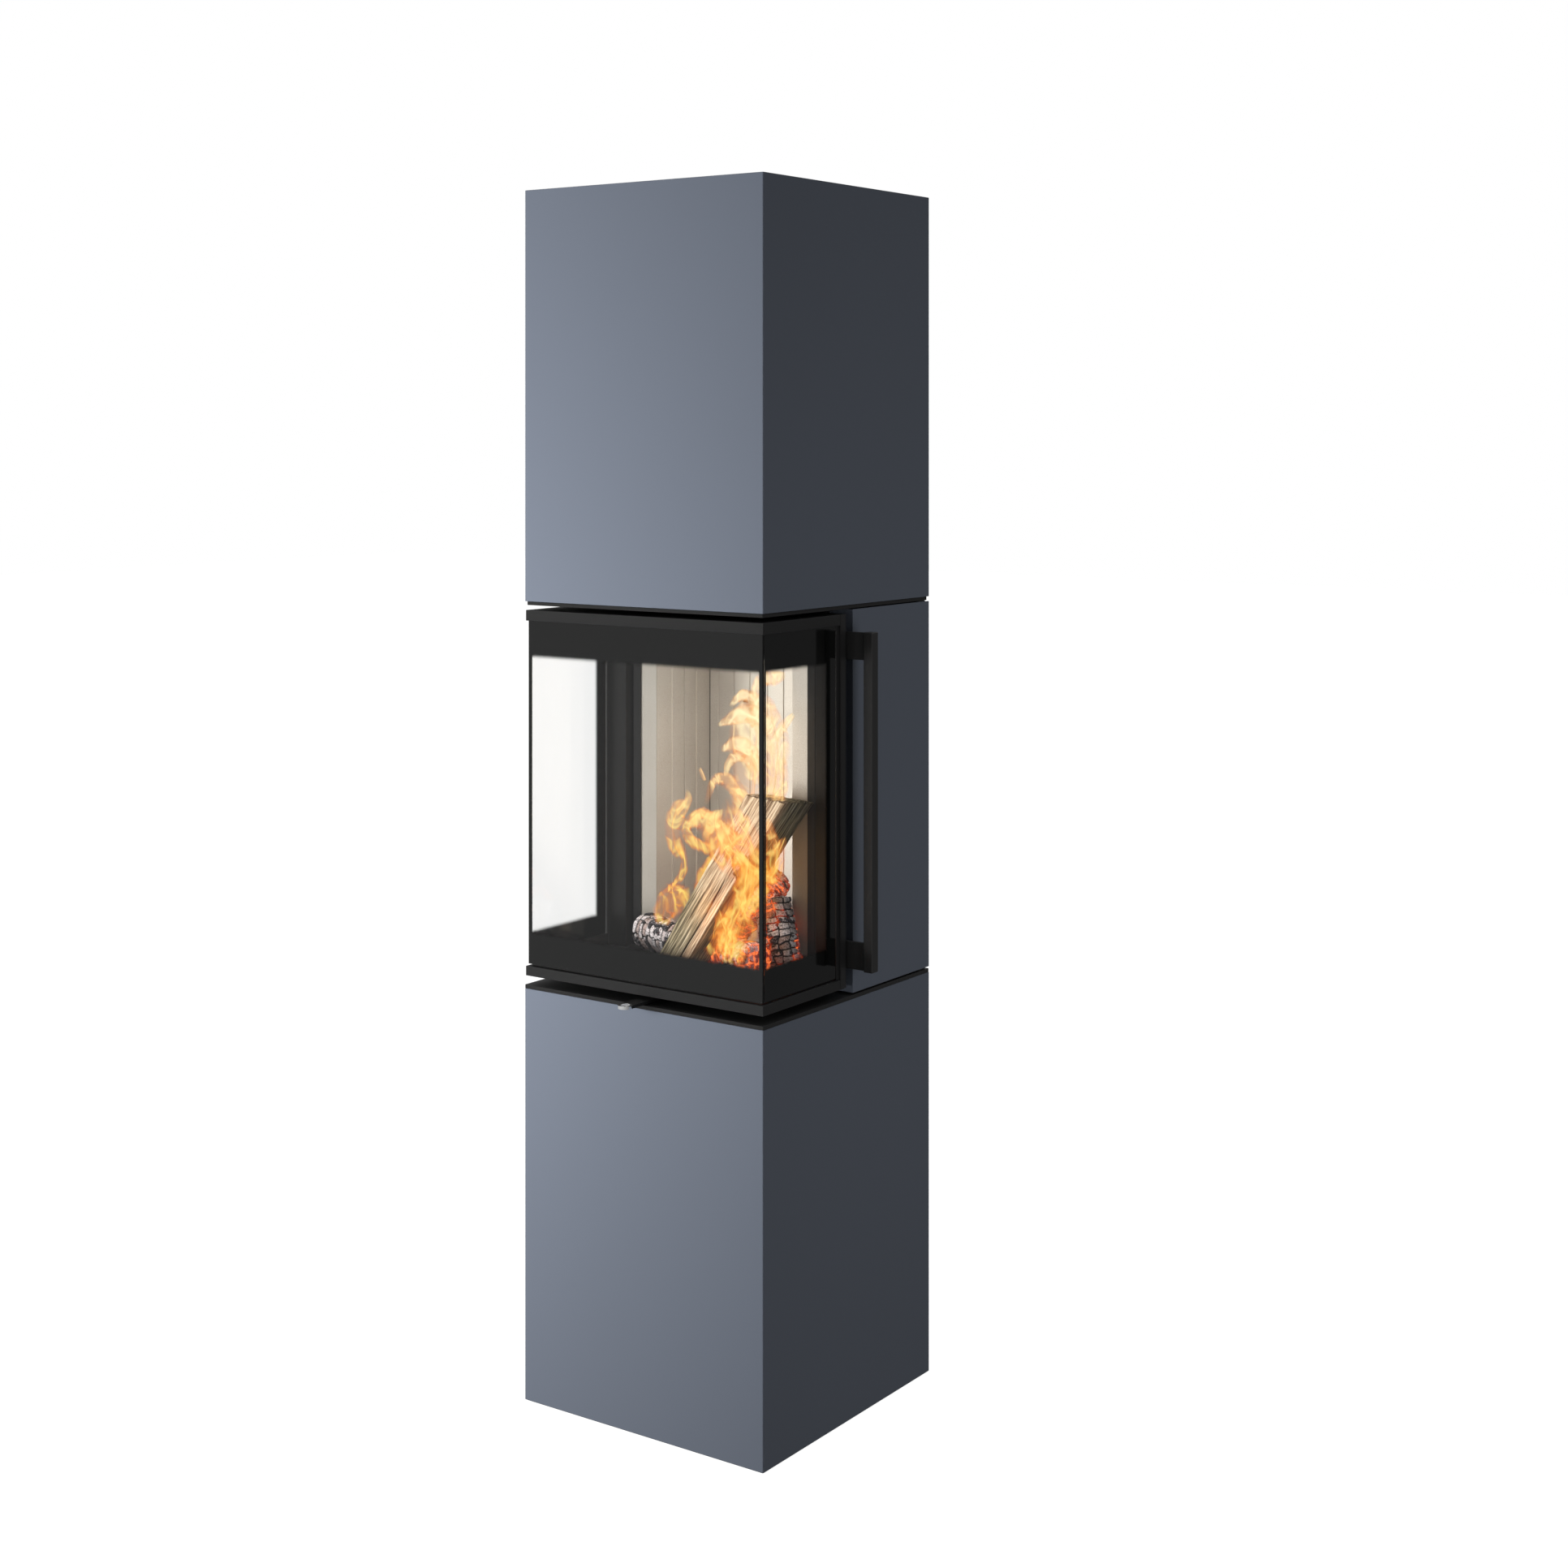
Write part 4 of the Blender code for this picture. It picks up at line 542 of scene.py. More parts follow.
# The front print has a solid strip at both corners. A side print has one in front only and fades at the rear.
def print_skin(name, pane, axis, inner, clear_to, clear_from=None):
    material, tree, shader = new_material(name + "_enamel")
    shader.inputs["Base Color"].default_value = ENAMEL_BLACK
    spot = place(tree, "ShaderNodeTexCoord").outputs["Object"]
    axes = place(tree, "ShaderNodeSeparateXYZ", {0: spot})
    grain = place(tree, "ShaderNodeTexNoise", {"Vector": spot, "Scale": ENAMEL_GRAIN})
    rough = work(tree, "MULTIPLY_ADD", grain.outputs["Fac"], ENAMEL_ROUGHNESS_SPREAD, ENAMEL_ROUGHNESS)
    tree.links.new(rough, shader.inputs["Roughness"])
    along = axes.outputs[axis]
    low = work(tree, "SUBTRACT", PRINT_BOTTOM, axes.outputs[2])
    high = work(tree, "SUBTRACT", axes.outputs[2], PRINT_TOP)
    depth = work(tree, "MAXIMUM", low, high)
    if clear_from is None:
        solid = work(tree, "GREATER_THAN", work(tree, "ABSOLUTE", along), clear_to)
    else:
        depth = work(tree, "MAXIMUM", depth, work(tree, "SUBTRACT", along, clear_to))
        solid = work(tree, "LESS_THAN", along, clear_from)
    dots = place(tree, "ShaderNodeGroup", node_tree=dot_fade)
    dots.inputs["Fade"].default_value = PRINT_FADE
    dots.inputs["Pitch"].default_value = DOT_PITCH
    tree.links.new(depth, dots.inputs["Depth"])
    tree.links.new(work(tree, "MAXIMUM", dots.outputs["Alpha"], solid), shader.inputs["Alpha"])
    low_corner, high_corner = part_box(pane)
    bm = bmesh.new()
    bmesh.ops.create_cube(bm, size=1)
    size = high_corner - low_corner
    centre = (high_corner + low_corner) / 2
    thin = 1 - axis
    size[thin] = SKIN_THICKNESS
    centre[thin] = inner
    size[2] -= 2 * SKIN_GAP
    size[axis] -= 2 * SKIN_GAP
    bmesh.ops.scale(bm, vec=size, verts=bm.verts)
    bmesh.ops.translate(bm, vec=centre, verts=bm.verts)
    skin = object_from(name, bm, material)
    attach(skin, "door")


front_low, front_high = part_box("front_glass")
side_low, side_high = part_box("side_glass_right")
print_skin("front_print", "front_glass", 0, front_low.y - SKIN_GAP, front_high.x - CORNER_LINE)
for hand, name in ((-1, "left"), (1, "right")):
    print_skin(
        "side_print_" + name, "side_glass_" + name, 1, hand * (side_high.x + SKIN_GAP),
        side_high.y - REAR_BORDER, side_low.y + CORNER_LINE_SIDE,
    )


# Logs: their shared shape
# Each log starts as a plain cone of one width, cut into many rings. Every point then gets its place from
# the log's section and from noise, and keeps its place along the grain for the material.
HEARTH_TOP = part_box("log_lying")[0].z
LOG_SIDES = 180
LOG_RINGS = 240
CAP_STEPS = 7
CAP_CENTRE = 1.2
END_LUMPS = 90
END_LUMP_HEIGHT = 0.004
END_GRAINS = 400
END_GRAIN_HEIGHT = 0.0008
END_ROUNDING = 0.003


def steps(value, low, high):
    share = min(max((value - low) / (high - low), 0), 1)
    return share * share * (3 - 2 * share)


def log_piece(name, foot, head, section, relief, material, slant=0.0):
    bm = bmesh.new()
    bmesh.ops.create_cone(bm, cap_ends=True, segments=LOG_SIDES, radius1=1, radius2=1, depth=1)
    long_edges = [edge for edge in bm.edges if edge.verts[0].co.z * edge.verts[1].co.z < 0]
    bmesh.ops.subdivide_edges(bm, edges=long_edges, cuts=LOG_RINGS, use_grid_fill=True)
    for cap in [face for face in bm.faces if len(face.verts) == LOG_SIDES]:
        for step in range(CAP_STEPS):
            bmesh.ops.inset_region(bm, faces=[cap], thickness=1 / (CAP_STEPS + CAP_CENTRE))
        bmesh.ops.poke(bm, faces=[cap])
    grain = bm.verts.layers.float_vector.new("grain")
    crack = bm.verts.layers.float.new("crack")
    tone = bm.verts.layers.float.new("tone")
    foot, head = Vector(foot), Vector(head)
    length = (head - foot).length
    for vert in bm.verts:
        out = min(math.hypot(vert.co.x, vert.co.y), 1)
        angle = math.atan2(vert.co.y, vert.co.x)
        height = vert.co.z * length
        radius = section(angle, vert.co.z) * out
        flat = Vector((radius * math.cos(angle), radius * math.sin(angle), height))
        push, depth, shade = relief(flat, out)
        vert[grain] = flat
        vert[crack] = depth
        vert[tone] = shade
        side = Vector((math.cos(angle), math.sin(angle), 0))
        vert.co = flat + side * push * steps(out, 0.6, 1.0)
        if abs(height) > length * 0.499:
            vert.co.z += noise.noise(flat * END_LUMPS) * END_LUMP_HEIGHT
            vert.co.z += noise.noise(flat * END_GRAINS) * END_GRAIN_HEIGHT
            vert.co.z -= math.copysign(END_ROUNDING * steps(out, 0.8, 1.0), height)
        vert.co.z -= slant * vert.co.y * steps(height / length, 0.0, 0.5)
    turn = (head - foot).to_track_quat("Z", "Y").to_matrix().to_4x4()
    bmesh.ops.transform(bm, matrix=Matrix.Translation((foot + head) / 2) @ turn, verts=bm.verts)
    drop = HEARTH_TOP - min(vert.co.z for vert in bm.verts)
    bmesh.ops.translate(bm, vec=(0, 0, drop), verts=bm.verts)
    for face in bm.faces:
        face.smooth = True
    made = object_from(name, bm, material)
    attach(made, "column")
    return made


# Leaning log
# A split billet of seasoned softwood: flat split faces with long grain, a mossy edge, a narrow crack in its
# lower half and a sawn end. It leans to the right over the lying log.
LEANING_FOOT = (0.0370, -0.1862, 0.742)
LEANING_HEAD = (0.1490, -0.0629, 1.0058)
LEANING_RADIUS = 0.0497
SPLIT_FACES = ((math.radians(125), 0.0273), (math.radians(215), 0.0308), (math.radians(315), 0.0273))
FOOT_SHARE = 0.74
END_SLANT = 0.475
LONG_GRAIN = Vector((260, 260, 9))
WIDE_GRAIN = Vector((70, 70, 5))
WIDE_GRAIN_START = Vector((0, 0, 7))
RIDGE_HEIGHT = 0.0007
WAVE_HEIGHT = 0.0022
CRACK_SIDE = Vector((0.819, 0.574, 0))
CRACK_PLACE = -0.008
CRACK_SWAY = 0.003
CRACK_SWAYS = 17
CRACK_SINK = 0.0035
CRACK_CORE = 0.0004
CRACK_RIM = 0.0024
CRACK_END = 0.02
WOOD_CRACK_SHADE = (0.02, 0.015, 0.01, 1)
WOOD_FINE = 320.0
WOOD_STRETCH = 0.035
WOOD_PATCHES = 55.0
WOOD_DEPTH = 0.0012
WOOD_STREAKS = (
    (0.36, (0.09, 0.048, 0.022)),
    (0.46, (0.31, 0.21, 0.125)),
    (0.54, (0.52, 0.40, 0.27)),
    (0.66, (0.74, 0.63, 0.47)),
)
WOOD_MOSS = (
    (0.36, (0.014, 0.012, 0.006)),
    (0.46, (0.075, 0.066, 0.036)),
    (0.55, (0.22, 0.195, 0.12)),
    (0.68, (0.55, 0.50, 0.38)),
)
MOSS_RIGHT_FROM = -0.006
MOSS_RIGHT_TO = 0.010
MOSS_LEFT_FROM = 0.003
MOSS_LEFT_TO = 0.014
MOSS_LOW_FROM = 0.03
MOSS_LOW_TO = -0.05
MOSS_LOW_SHARE = 0.9
MOSS_WANDER = 0.05


def split_section(angle, along):
    reach = LEANING_RADIUS
    for facing, distance in SPLIT_FACES:
        lean = math.cos(angle - facing)
        if lean > 0.05:
            reach = min(reach, distance / lean)
    return reach * (FOOT_SHARE + (1 - FOOT_SHARE) * (along + 0.5))


def split_relief(spot, out):
    ridge = 1 - abs(noise.noise(spot * LONG_GRAIN)) * 2
    wave = noise.noise(spot * WIDE_GRAIN + WIDE_GRAIN_START)
    sway = CRACK_SWAY * noise.noise(Vector((0.4, 3.1, spot.z * CRACK_SWAYS)))
    across = abs(CRACK_SIDE.dot(spot) + sway - CRACK_PLACE)
    split = steps(-spot.z, -CRACK_END, CRACK_END) * (1 - steps(across, CRACK_CORE, CRACK_RIM))
    push = RIDGE_HEIGHT * ridge + WAVE_HEIGHT * wave - CRACK_SINK * split
    return push, split, wave


def ramp(tree, value, *stops):
    made = place(tree, "ShaderNodeValToRGB", {0: value})
    marks = made.color_ramp.elements
    while len(marks) < len(stops):
        marks.new(0.5)
    for mark, (position, color) in zip(marks, stops):
        mark.position = position
        mark.color = (*color, 1)
    return made.outputs[0]


def grain_group():
    group, start, end = new_group(
        "long_grain",
        [("Fine", "Float", 300.0), ("Stretch", "Float", 0.04)],
        [("Streak", "Float"), ("Patch", "Float")],
    )
    spot = place(group, "ShaderNodeAttribute", attribute_name="grain").outputs["Vector"]
    scale = place(group, "ShaderNodeCombineXYZ", {0: 1.0, 1: 1.0, 2: start.outputs["Stretch"]})
    drawn = place(group, "ShaderNodeVectorMath", {0: spot, 1: scale.outputs[0]}, operation="MULTIPLY")
    values = {"Vector": drawn.outputs[0], "Scale": start.outputs["Fine"], "Detail": 5.0, "Roughness": 0.7}
    streak = place(group, "ShaderNodeTexNoise", values)
    values = {"Vector": drawn.outputs[0], "Scale": WOOD_PATCHES, "Detail": 3.0}
    patch = place(group, "ShaderNodeTexNoise", values)
    group.links.new(streak.outputs["Fac"], end.inputs["Streak"])
    group.links.new(patch.outputs["Fac"], end.inputs["Patch"])
    return group


long_grain = grain_group()
split_wood, wood_tree, wood_shader = new_material("split_wood", Roughness=0.85)
wood_grain = place(wood_tree, "ShaderNodeGroup", node_tree=long_grain)
wood_grain.inputs["Fine"].default_value = WOOD_FINE
wood_grain.inputs["Stretch"].default_value = WOOD_STRETCH
wood_streaks = ramp(wood_tree, wood_grain.outputs["Streak"], *WOOD_STREAKS)
wood_moss = ramp(wood_tree, wood_grain.outputs["Streak"], *WOOD_MOSS)
wood_place = place(wood_tree, "ShaderNodeAttribute", attribute_name="grain").outputs["Vector"]
wood_sides = place(wood_tree, "ShaderNodeSeparateXYZ", {0: wood_place})
wood_turn = work(
    wood_tree, "MULTIPLY_ADD", wood_grain.outputs["Patch"], -MOSS_WANDER, 0.5 * MOSS_WANDER
)
wood_right = work(wood_tree, "SUBTRACT", wood_turn, wood_sides.outputs[1])
wood_right = scaled(wood_tree, wood_right, MOSS_RIGHT_FROM, MOSS_RIGHT_TO)
wood_left = work(wood_tree, "ADD", wood_sides.outputs[1], wood_turn)
wood_left = scaled(wood_tree, wood_left, MOSS_LEFT_FROM, MOSS_LEFT_TO)
wood_low = scaled(wood_tree, wood_sides.outputs[2], MOSS_LOW_FROM, MOSS_LOW_TO)
wood_low = work(wood_tree, "MULTIPLY", wood_low, MOSS_LOW_SHARE)
wood_patch = work(wood_tree, "MAXIMUM", wood_right, work(wood_tree, "MULTIPLY", wood_left, wood_low))
wood_mixed = blend(wood_tree, wood_patch, wood_streaks, wood_moss)
wood_crack = place(wood_tree, "ShaderNodeAttribute", attribute_name="crack").outputs["Fac"]
# Painted shade: the crack is painted near black.
wood_crack_shaded = blend(wood_tree, wood_crack, wood_mixed, WOOD_CRACK_SHADE)
wood_tree.links.new(wood_crack_shaded, wood_shader.inputs["Base Color"])
bump_from(wood_tree, wood_shader, wood_grain.outputs["Streak"], WOOD_DEPTH)
leaning = log_piece(
    "leaning_log", LEANING_FOOT, LEANING_HEAD, split_section, split_relief, split_wood,
    slant=END_SLANT,
)
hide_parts("log_leaning")


# Charred logs: lying, crossing and corner
# Round wood burnt through its bark. The char has shrunk into small blocks with deep cracks between them,
# ash lies pale on the blocks, and the embers glow in the cracks and on the side that faces the fire.
ASH_GREY = (0.80, 0.76, 0.79)
ASH_PINK = (0.66, 0.44, 0.34)
CRACK_CHAR_AND_SHADE = (0.006, 0.005, 0.005, 1)
CHAR_BROWN = (
    (0.36, (0.05, 0.028, 0.022)),
    (0.50, (0.26, 0.165, 0.13)),
    (0.62, (0.52, 0.40, 0.36)),
)
CHAR_FINE = 420.0
CHAR_PATCHES = 60.0
PATCH_BY_BLOCK = 0.16
SOOTY_FROM = 0.53
SOOTY_TO = 0.59
BROWN_FROM = -0.1
BROWN_TO = -0.7
BROWN_SHARE = 0.75
EMBER_PATCHES = 30.0
EMBER_ON_BLOCKS = 0.25
EMBER_GLOW = (
    (0.0, (0, 0, 0)),
    (0.2, (0.25, 0.018, 0.004)),
    (0.5, (0.90, 0.16, 0.03)),
    (0.9, (1.0, 0.50, 0.18)),
)
CHAR_COLUMNS = 9
BLOCK_LENGTH = 0.0105
CRACK_HALF = 0.0003
CRACK_EDGE = 0.0019
CRACK_DEPTH = 0.0026
END_BLOCK_WIDTH = 0.011
END_BLOCK_HEIGHT = 0.017
WIDE_SWAY = 28
WIDE_SWAY_SHARE = 0.50
FINE_SWAY = 95
FINE_SWAY_SHARE = 0.22
ROW_SHIFT = 0.9
CHAR_LUMPS = 50
CHAR_LUMP_HEIGHT = 0.0012
CHAR_GRAINS = 300
CHAR_GRAIN_HEIGHT = 0.0005
CHAR_GRAIN_DEPTH = 0.0012
BLOCK_STEP = 0.0014
LOBE_HEIGHT = 0.05
BEND_HEIGHT = 0.03
SWAY_SEED = 3

# Without a fixed seed the cracks would run another way each time the script runs
noise.seed_set(SWAY_SEED)


def char_relief(seed, radius):
    def relief(spot, out):
        shifted = spot + Vector((seed, 2 * seed, 3 * seed))
        sway = noise.noise_vector(shifted * WIDE_SWAY) * WIDE_SWAY_SHARE
        sway += noise.noise_vector(shifted * FINE_SWAY) * FINE_SWAY_SHARE
        column = (math.atan2(spot.y, spot.x) / math.tau + 0.5) * CHAR_COLUMNS + sway.x
        first = math.floor(column) % CHAR_COLUMNS
        row = spot.z / BLOCK_LENGTH + sway.y
        row += ROW_SHIFT * noise.cell(Vector((3.1 * first + seed, 1, 1)))
        across = abs(column - round(column)) * math.tau * radius / CHAR_COLUMNS
        along = abs(row - round(row)) * BLOCK_LENGTH
        crack = 1 - steps(min(across, along), CRACK_HALF, CRACK_EDGE)
        if out < 0.97:
            column = spot.x / END_BLOCK_WIDTH + sway.x
            level = spot.y / END_BLOCK_HEIGHT + sway.y
            across = abs(column - round(column)) * END_BLOCK_WIDTH
            along = abs(level - round(level)) * END_BLOCK_HEIGHT
            crack = 1 - steps(min(across, along), CRACK_HALF, CRACK_EDGE)
        tone = noise.cell(Vector((5.3 * first + seed, 2.7 * math.floor(row), 3)))
        push = noise.noise(shifted * CHAR_LUMPS) * CHAR_LUMP_HEIGHT
        push += noise.noise(shifted * CHAR_GRAINS) * CHAR_GRAIN_HEIGHT
        push += BLOCK_STEP * tone - CRACK_DEPTH * crack
        return push, crack, tone
    return relief


def round_section(radius, lobes, phase):
    def section(angle, along):
        lobe = LOBE_HEIGHT * math.sin(lobes * angle + phase)
        bend = BEND_HEIGHT * math.sin(5 * along + phase)
        return radius * (1 + lobe + bend)
    return section


def dimmed(color, share):
    return tuple(share * part for part in color)


def char_material(name, ash, heat, heat_from, heat_to, lean):
    material, tree, shader = new_material(name, Roughness=0.9)
    crack = place(tree, "ShaderNodeAttribute", attribute_name="crack").outputs["Fac"]
    tone = place(tree, "ShaderNodeAttribute", attribute_name="tone").outputs["Fac"]
    spot = place(tree, "ShaderNodeTexCoord").outputs["Object"]
    values = {"Vector": spot, "Scale": CHAR_FINE, "Detail": 6.0, "Roughness": 0.7}
    fine = place(tree, "ShaderNodeTexNoise", values).outputs["Fac"]
    cloud = place(tree, "ShaderNodeTexNoise", {"Vector": spot, "Scale": CHAR_PATCHES, "Detail": 2.0})
    pale = ramp(tree, fine, (0.36, dimmed(ash, 0.12)), (0.48, dimmed(ash, 0.70)), (0.56, ash))
    soot = ((0.42, (0.005, 0.005, 0.008)), (0.54, (0.035, 0.033, 0.042)), (0.68, dimmed(ash, 0.6)))
    sooty = ramp(tree, fine, *soot)
    brown = ramp(tree, fine, *CHAR_BROWN)
    burnt = work(tree, "MULTIPLY_ADD", tone, PATCH_BY_BLOCK, cloud.outputs["Fac"])
    tinted = blend(tree, scaled(tree, tone, BROWN_FROM, BROWN_TO, 0.0, BROWN_SHARE), pale, brown)
    mixed = blend(tree, scaled(tree, burnt, SOOTY_FROM, SOOTY_TO), tinted, sooty)
    # The cracks are bare black char without ash, and their near-black is also painted shade in the depth.
    dark = blend(tree, scaled(tree, crack, 0.2, 0.8), mixed, CRACK_CHAR_AND_SHADE)
    tree.links.new(dark, shader.inputs["Base Color"])
    values = {"Vector": spot, "Scale": EMBER_PATCHES, "Detail": 3.0, "Distortion": 0.6}
    hot = place(tree, "ShaderNodeTexNoise", values).outputs["Fac"]
    to_right = place(tree, "ShaderNodeSeparateXYZ", {0: spot}).outputs[0]
    hotter = work(tree, "MULTIPLY_ADD", to_right, lean, hot)
    where = scaled(tree, hotter, heat_from, heat_to)
    rims = scaled(tree, crack, 0.0, 0.4, EMBER_ON_BLOCKS, 1.0)
    lively = work(tree, "MULTIPLY_ADD", fine, 1.5, -0.30, clamp=True)
    lively = work(tree, "MULTIPLY", work(tree, "MULTIPLY", where, lively), rims)
    tree.links.new(ramp(tree, lively, *EMBER_GLOW), shader.inputs["Emission Color"])
    shader.inputs["Emission Strength"].default_value = heat
    bump_from(tree, shader, fine, CHAR_GRAIN_DEPTH)
    return material


# Each log: name, foot, head, radius, lobes, ash, glow, where the glow starts and is full, more to the right
LOGS = (
    (
        "lying", (-0.1344, -0.0523, 0.747), (0.1555, -0.1448, 0.747), 0.030, 3,
        ASH_GREY, 1.3, 0.55, 0.68, 1.3,
    ),
    (
        "crossing", (-0.0269, 0.0221, 0.739), (0.0773, 0.0160, 0.849), 0.032, 2,
        ASH_PINK, 1.5, 0.38, 0.58, 0.0,
    ),
    (
        "corner", (0.1593, -0.0680, 0.730), (0.1202, -0.0489, 0.831), 0.029, 4,
        ASH_GREY, 1.3, 0.49, 0.63, 0.0,
    ),
)
for number, (name, foot, head, radius, lobes, ash, heat, heat_from, heat_to, lean) in enumerate(LOGS):
    char = char_material("charred_wood_" + name, ash, heat, heat_from, heat_to, lean)
    section = round_section(radius, lobes, number)
    relief = char_relief(0.37 * (number + 1), radius)
    charred = log_piece(name + "_log", foot, head, section, relief, char)
    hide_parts("log_" + name)


# Flames
# Sheets of burning gas: thin curved tongues that rise from the logs, bright yellow along their folds,
# orange at the rim and nearly clear between. Each stands in two directions, so the fire has depth.
FIRE_CENTRE = Vector((0.03, -0.06, 0))
FIRE_ACROSS = Vector((0.8181, 0.575, 0))
FIRE_DEEP = Vector((-0.575, 0.8181, 0))
FLAME_STRENGTH = 1.3
FLAME_VEIL = 0.13
FLAME_VEIL_HIGH = 0.09
FLAME_FOLD = 0.44
PALE_FROM = 0.90
PALE_TO = 1.10
FLAME_LOW = (
    (0.0, (0.70, 0.09, 0.01)),
    (0.3, (1.0, 0.21, 0.02)),
    (0.6, (1.0, 0.36, 0.04)),
    (1.0, (1.0, 0.70, 0.16)),
)
FLAME_HIGH = (
    (0.0, (0.90, 0.30, 0.08)),
    (0.3, (1.0, 0.50, 0.20)),
    (0.6, (1.0, 0.68, 0.34)),
    (1.0, (1.0, 0.84, 0.50)),
)
DRIFT_SCALE = 19.0
DRIFT_SHARE = 1.6
FOLD_SCALE = 24.0
FOLD_WIDTH = 0.24
FOLD_HEAT = 0.55
EDGE_HEAT = 0.45
RIM_CLEAR = 0.04
RIM_FULL = 0.50
FOOT_FULL = 0.12
TIP_FULL = 0.85
UPWARD_STRETCH = (1.0, 1.0, 0.55)
SHEET_COLUMNS = 10
SHEET_ROWS = 8
SECOND_TURN = math.radians(86)
SECOND_CUP = -0.1
SECOND_SHIFT = 0.01


def flame_material():
    material, tree, shader = new_material("flame", Roughness=1.0)
    shader.inputs["Base Color"].default_value = (0, 0, 0, 1)
    shader.inputs["Specular IOR Level"].default_value = 0.0
    spot = place(tree, "ShaderNodeTexCoord").outputs["Object"]
    paper = place(tree, "ShaderNodeUVMap", uv_map="sheet").outputs[0]
    paper = place(tree, "ShaderNodeSeparateXYZ", {0: paper})
    across, up = paper.outputs[0], paper.outputs[1]
    drawn = place(tree, "ShaderNodeMapping", {0: spot, 3: UPWARD_STRETCH}).outputs[0]
    values = {"Vector": drawn, "Scale": DRIFT_SCALE, "Detail": 2.0, "Distortion": 0.8}
    drift = place(tree, "ShaderNodeTexNoise", values).outputs["Fac"]
    values = {"Vector": drawn, "Scale": FOLD_SCALE, "Detail": 2.0, "Distortion": 1.5}
    folds = place(tree, "ShaderNodeTexNoise", values).outputs["Fac"]
    centred = work(tree, "MULTIPLY_ADD", across, 2.0, -1.0)
    swing = work(tree, "MULTIPLY_ADD", drift, DRIFT_SHARE, -0.5 * DRIFT_SHARE)
    swing = work(tree, "MULTIPLY", swing, work(tree, "MULTIPLY_ADD", up, 0.8, 0.35))
    leaned = work(tree, "ABSOLUTE", work(tree, "ADD", centred, swing))
    rim = work(tree, "SUBTRACT", 1.0, leaned)
    body = scaled(tree, rim, RIM_CLEAR, RIM_FULL, soft=True)
    body = work(tree, "MULTIPLY", body, scaled(tree, up, 0.0, FOOT_FULL))
    body = work(tree, "MULTIPLY", body, scaled(tree, up, 1.0, TIP_FULL))
    edge = scaled(tree, rim, 0.65, 0.20, soft=True)
    ridge = work(tree, "ABSOLUTE", work(tree, "MULTIPLY_ADD", folds, 2.0, -1.0))
    ridge = scaled(tree, ridge, FOLD_WIDTH, 0.0, soft=True)
    heat = work(tree, "MULTIPLY_ADD", edge, -EDGE_HEAT, EDGE_HEAT)
    heat = work(tree, "MULTIPLY_ADD", ridge, FOLD_HEAT, heat, clamp=True)
    height = place(tree, "ShaderNodeSeparateXYZ", {0: spot}).outputs[2]
    paled = scaled(tree, height, PALE_FROM, PALE_TO)
    glow = blend(tree, paled, ramp(tree, heat, *FLAME_LOW), ramp(tree, heat, *FLAME_HIGH))
    tree.links.new(glow, shader.inputs["Emission Color"])
    shader.inputs["Emission Strength"].default_value = FLAME_STRENGTH
    thick = work(tree, "MULTIPLY_ADD", paled, FLAME_VEIL_HIGH, FLAME_VEIL)
    thick = work(tree, "MULTIPLY_ADD", ridge, FLAME_FOLD, thick)
    tree.links.new(work(tree, "MULTIPLY", thick, body, clamp=True), shader.inputs["Alpha"])
    return material


# A sheet's middle line is a smooth curve through the points of its path, and cup bends the sheet across.
def flame_sheet(bm, path, depth, turn=0.0, cup=0.25):
    spots = [Vector(point) for point in path]
    last = len(spots) - 1
    made = bmesh.ops.create_grid(
        bm, x_segments=SHEET_COLUMNS, y_segments=SHEET_ROWS * last, size=0.5, calc_uvs=True
    )
    across = math.cos(turn) * FIRE_ACROSS + math.sin(turn) * FIRE_DEEP
    deep = math.cos(turn) * FIRE_DEEP - math.sin(turn) * FIRE_ACROSS
    for vert in made["verts"]:
        side, at = vert.co.x * 2, (vert.co.y + 0.5) * last
        first = min(int(at), last - 1)
        share = at - first
        around = [spots[min(max(first + step, 0), last)] for step in (-1, 0, 1, 2)]
        before, here, there, after = around
        point = 0.5 * (
            2 * here + (there - before) * share
            + (2 * before - 5 * here + 4 * there - after) * share ** 2
            + (3 * here - before - 3 * there + after) * share ** 3
        )
        slope = (there - here).xy.normalized()
        width = point.z
        middle = FIRE_CENTRE + FIRE_ACROSS * point.x + FIRE_DEEP * depth
        flat = across * slope.y * side * width - Vector((0, 0, slope.x * side * width))
        curl = deep * (cup * width * (1 - side * side))
        vert.co = middle + Vector((0, 0, point.y)) + flat + curl
    for face in {face for vert in made["verts"] for face in vert.link_faces}:
        face.smooth = True


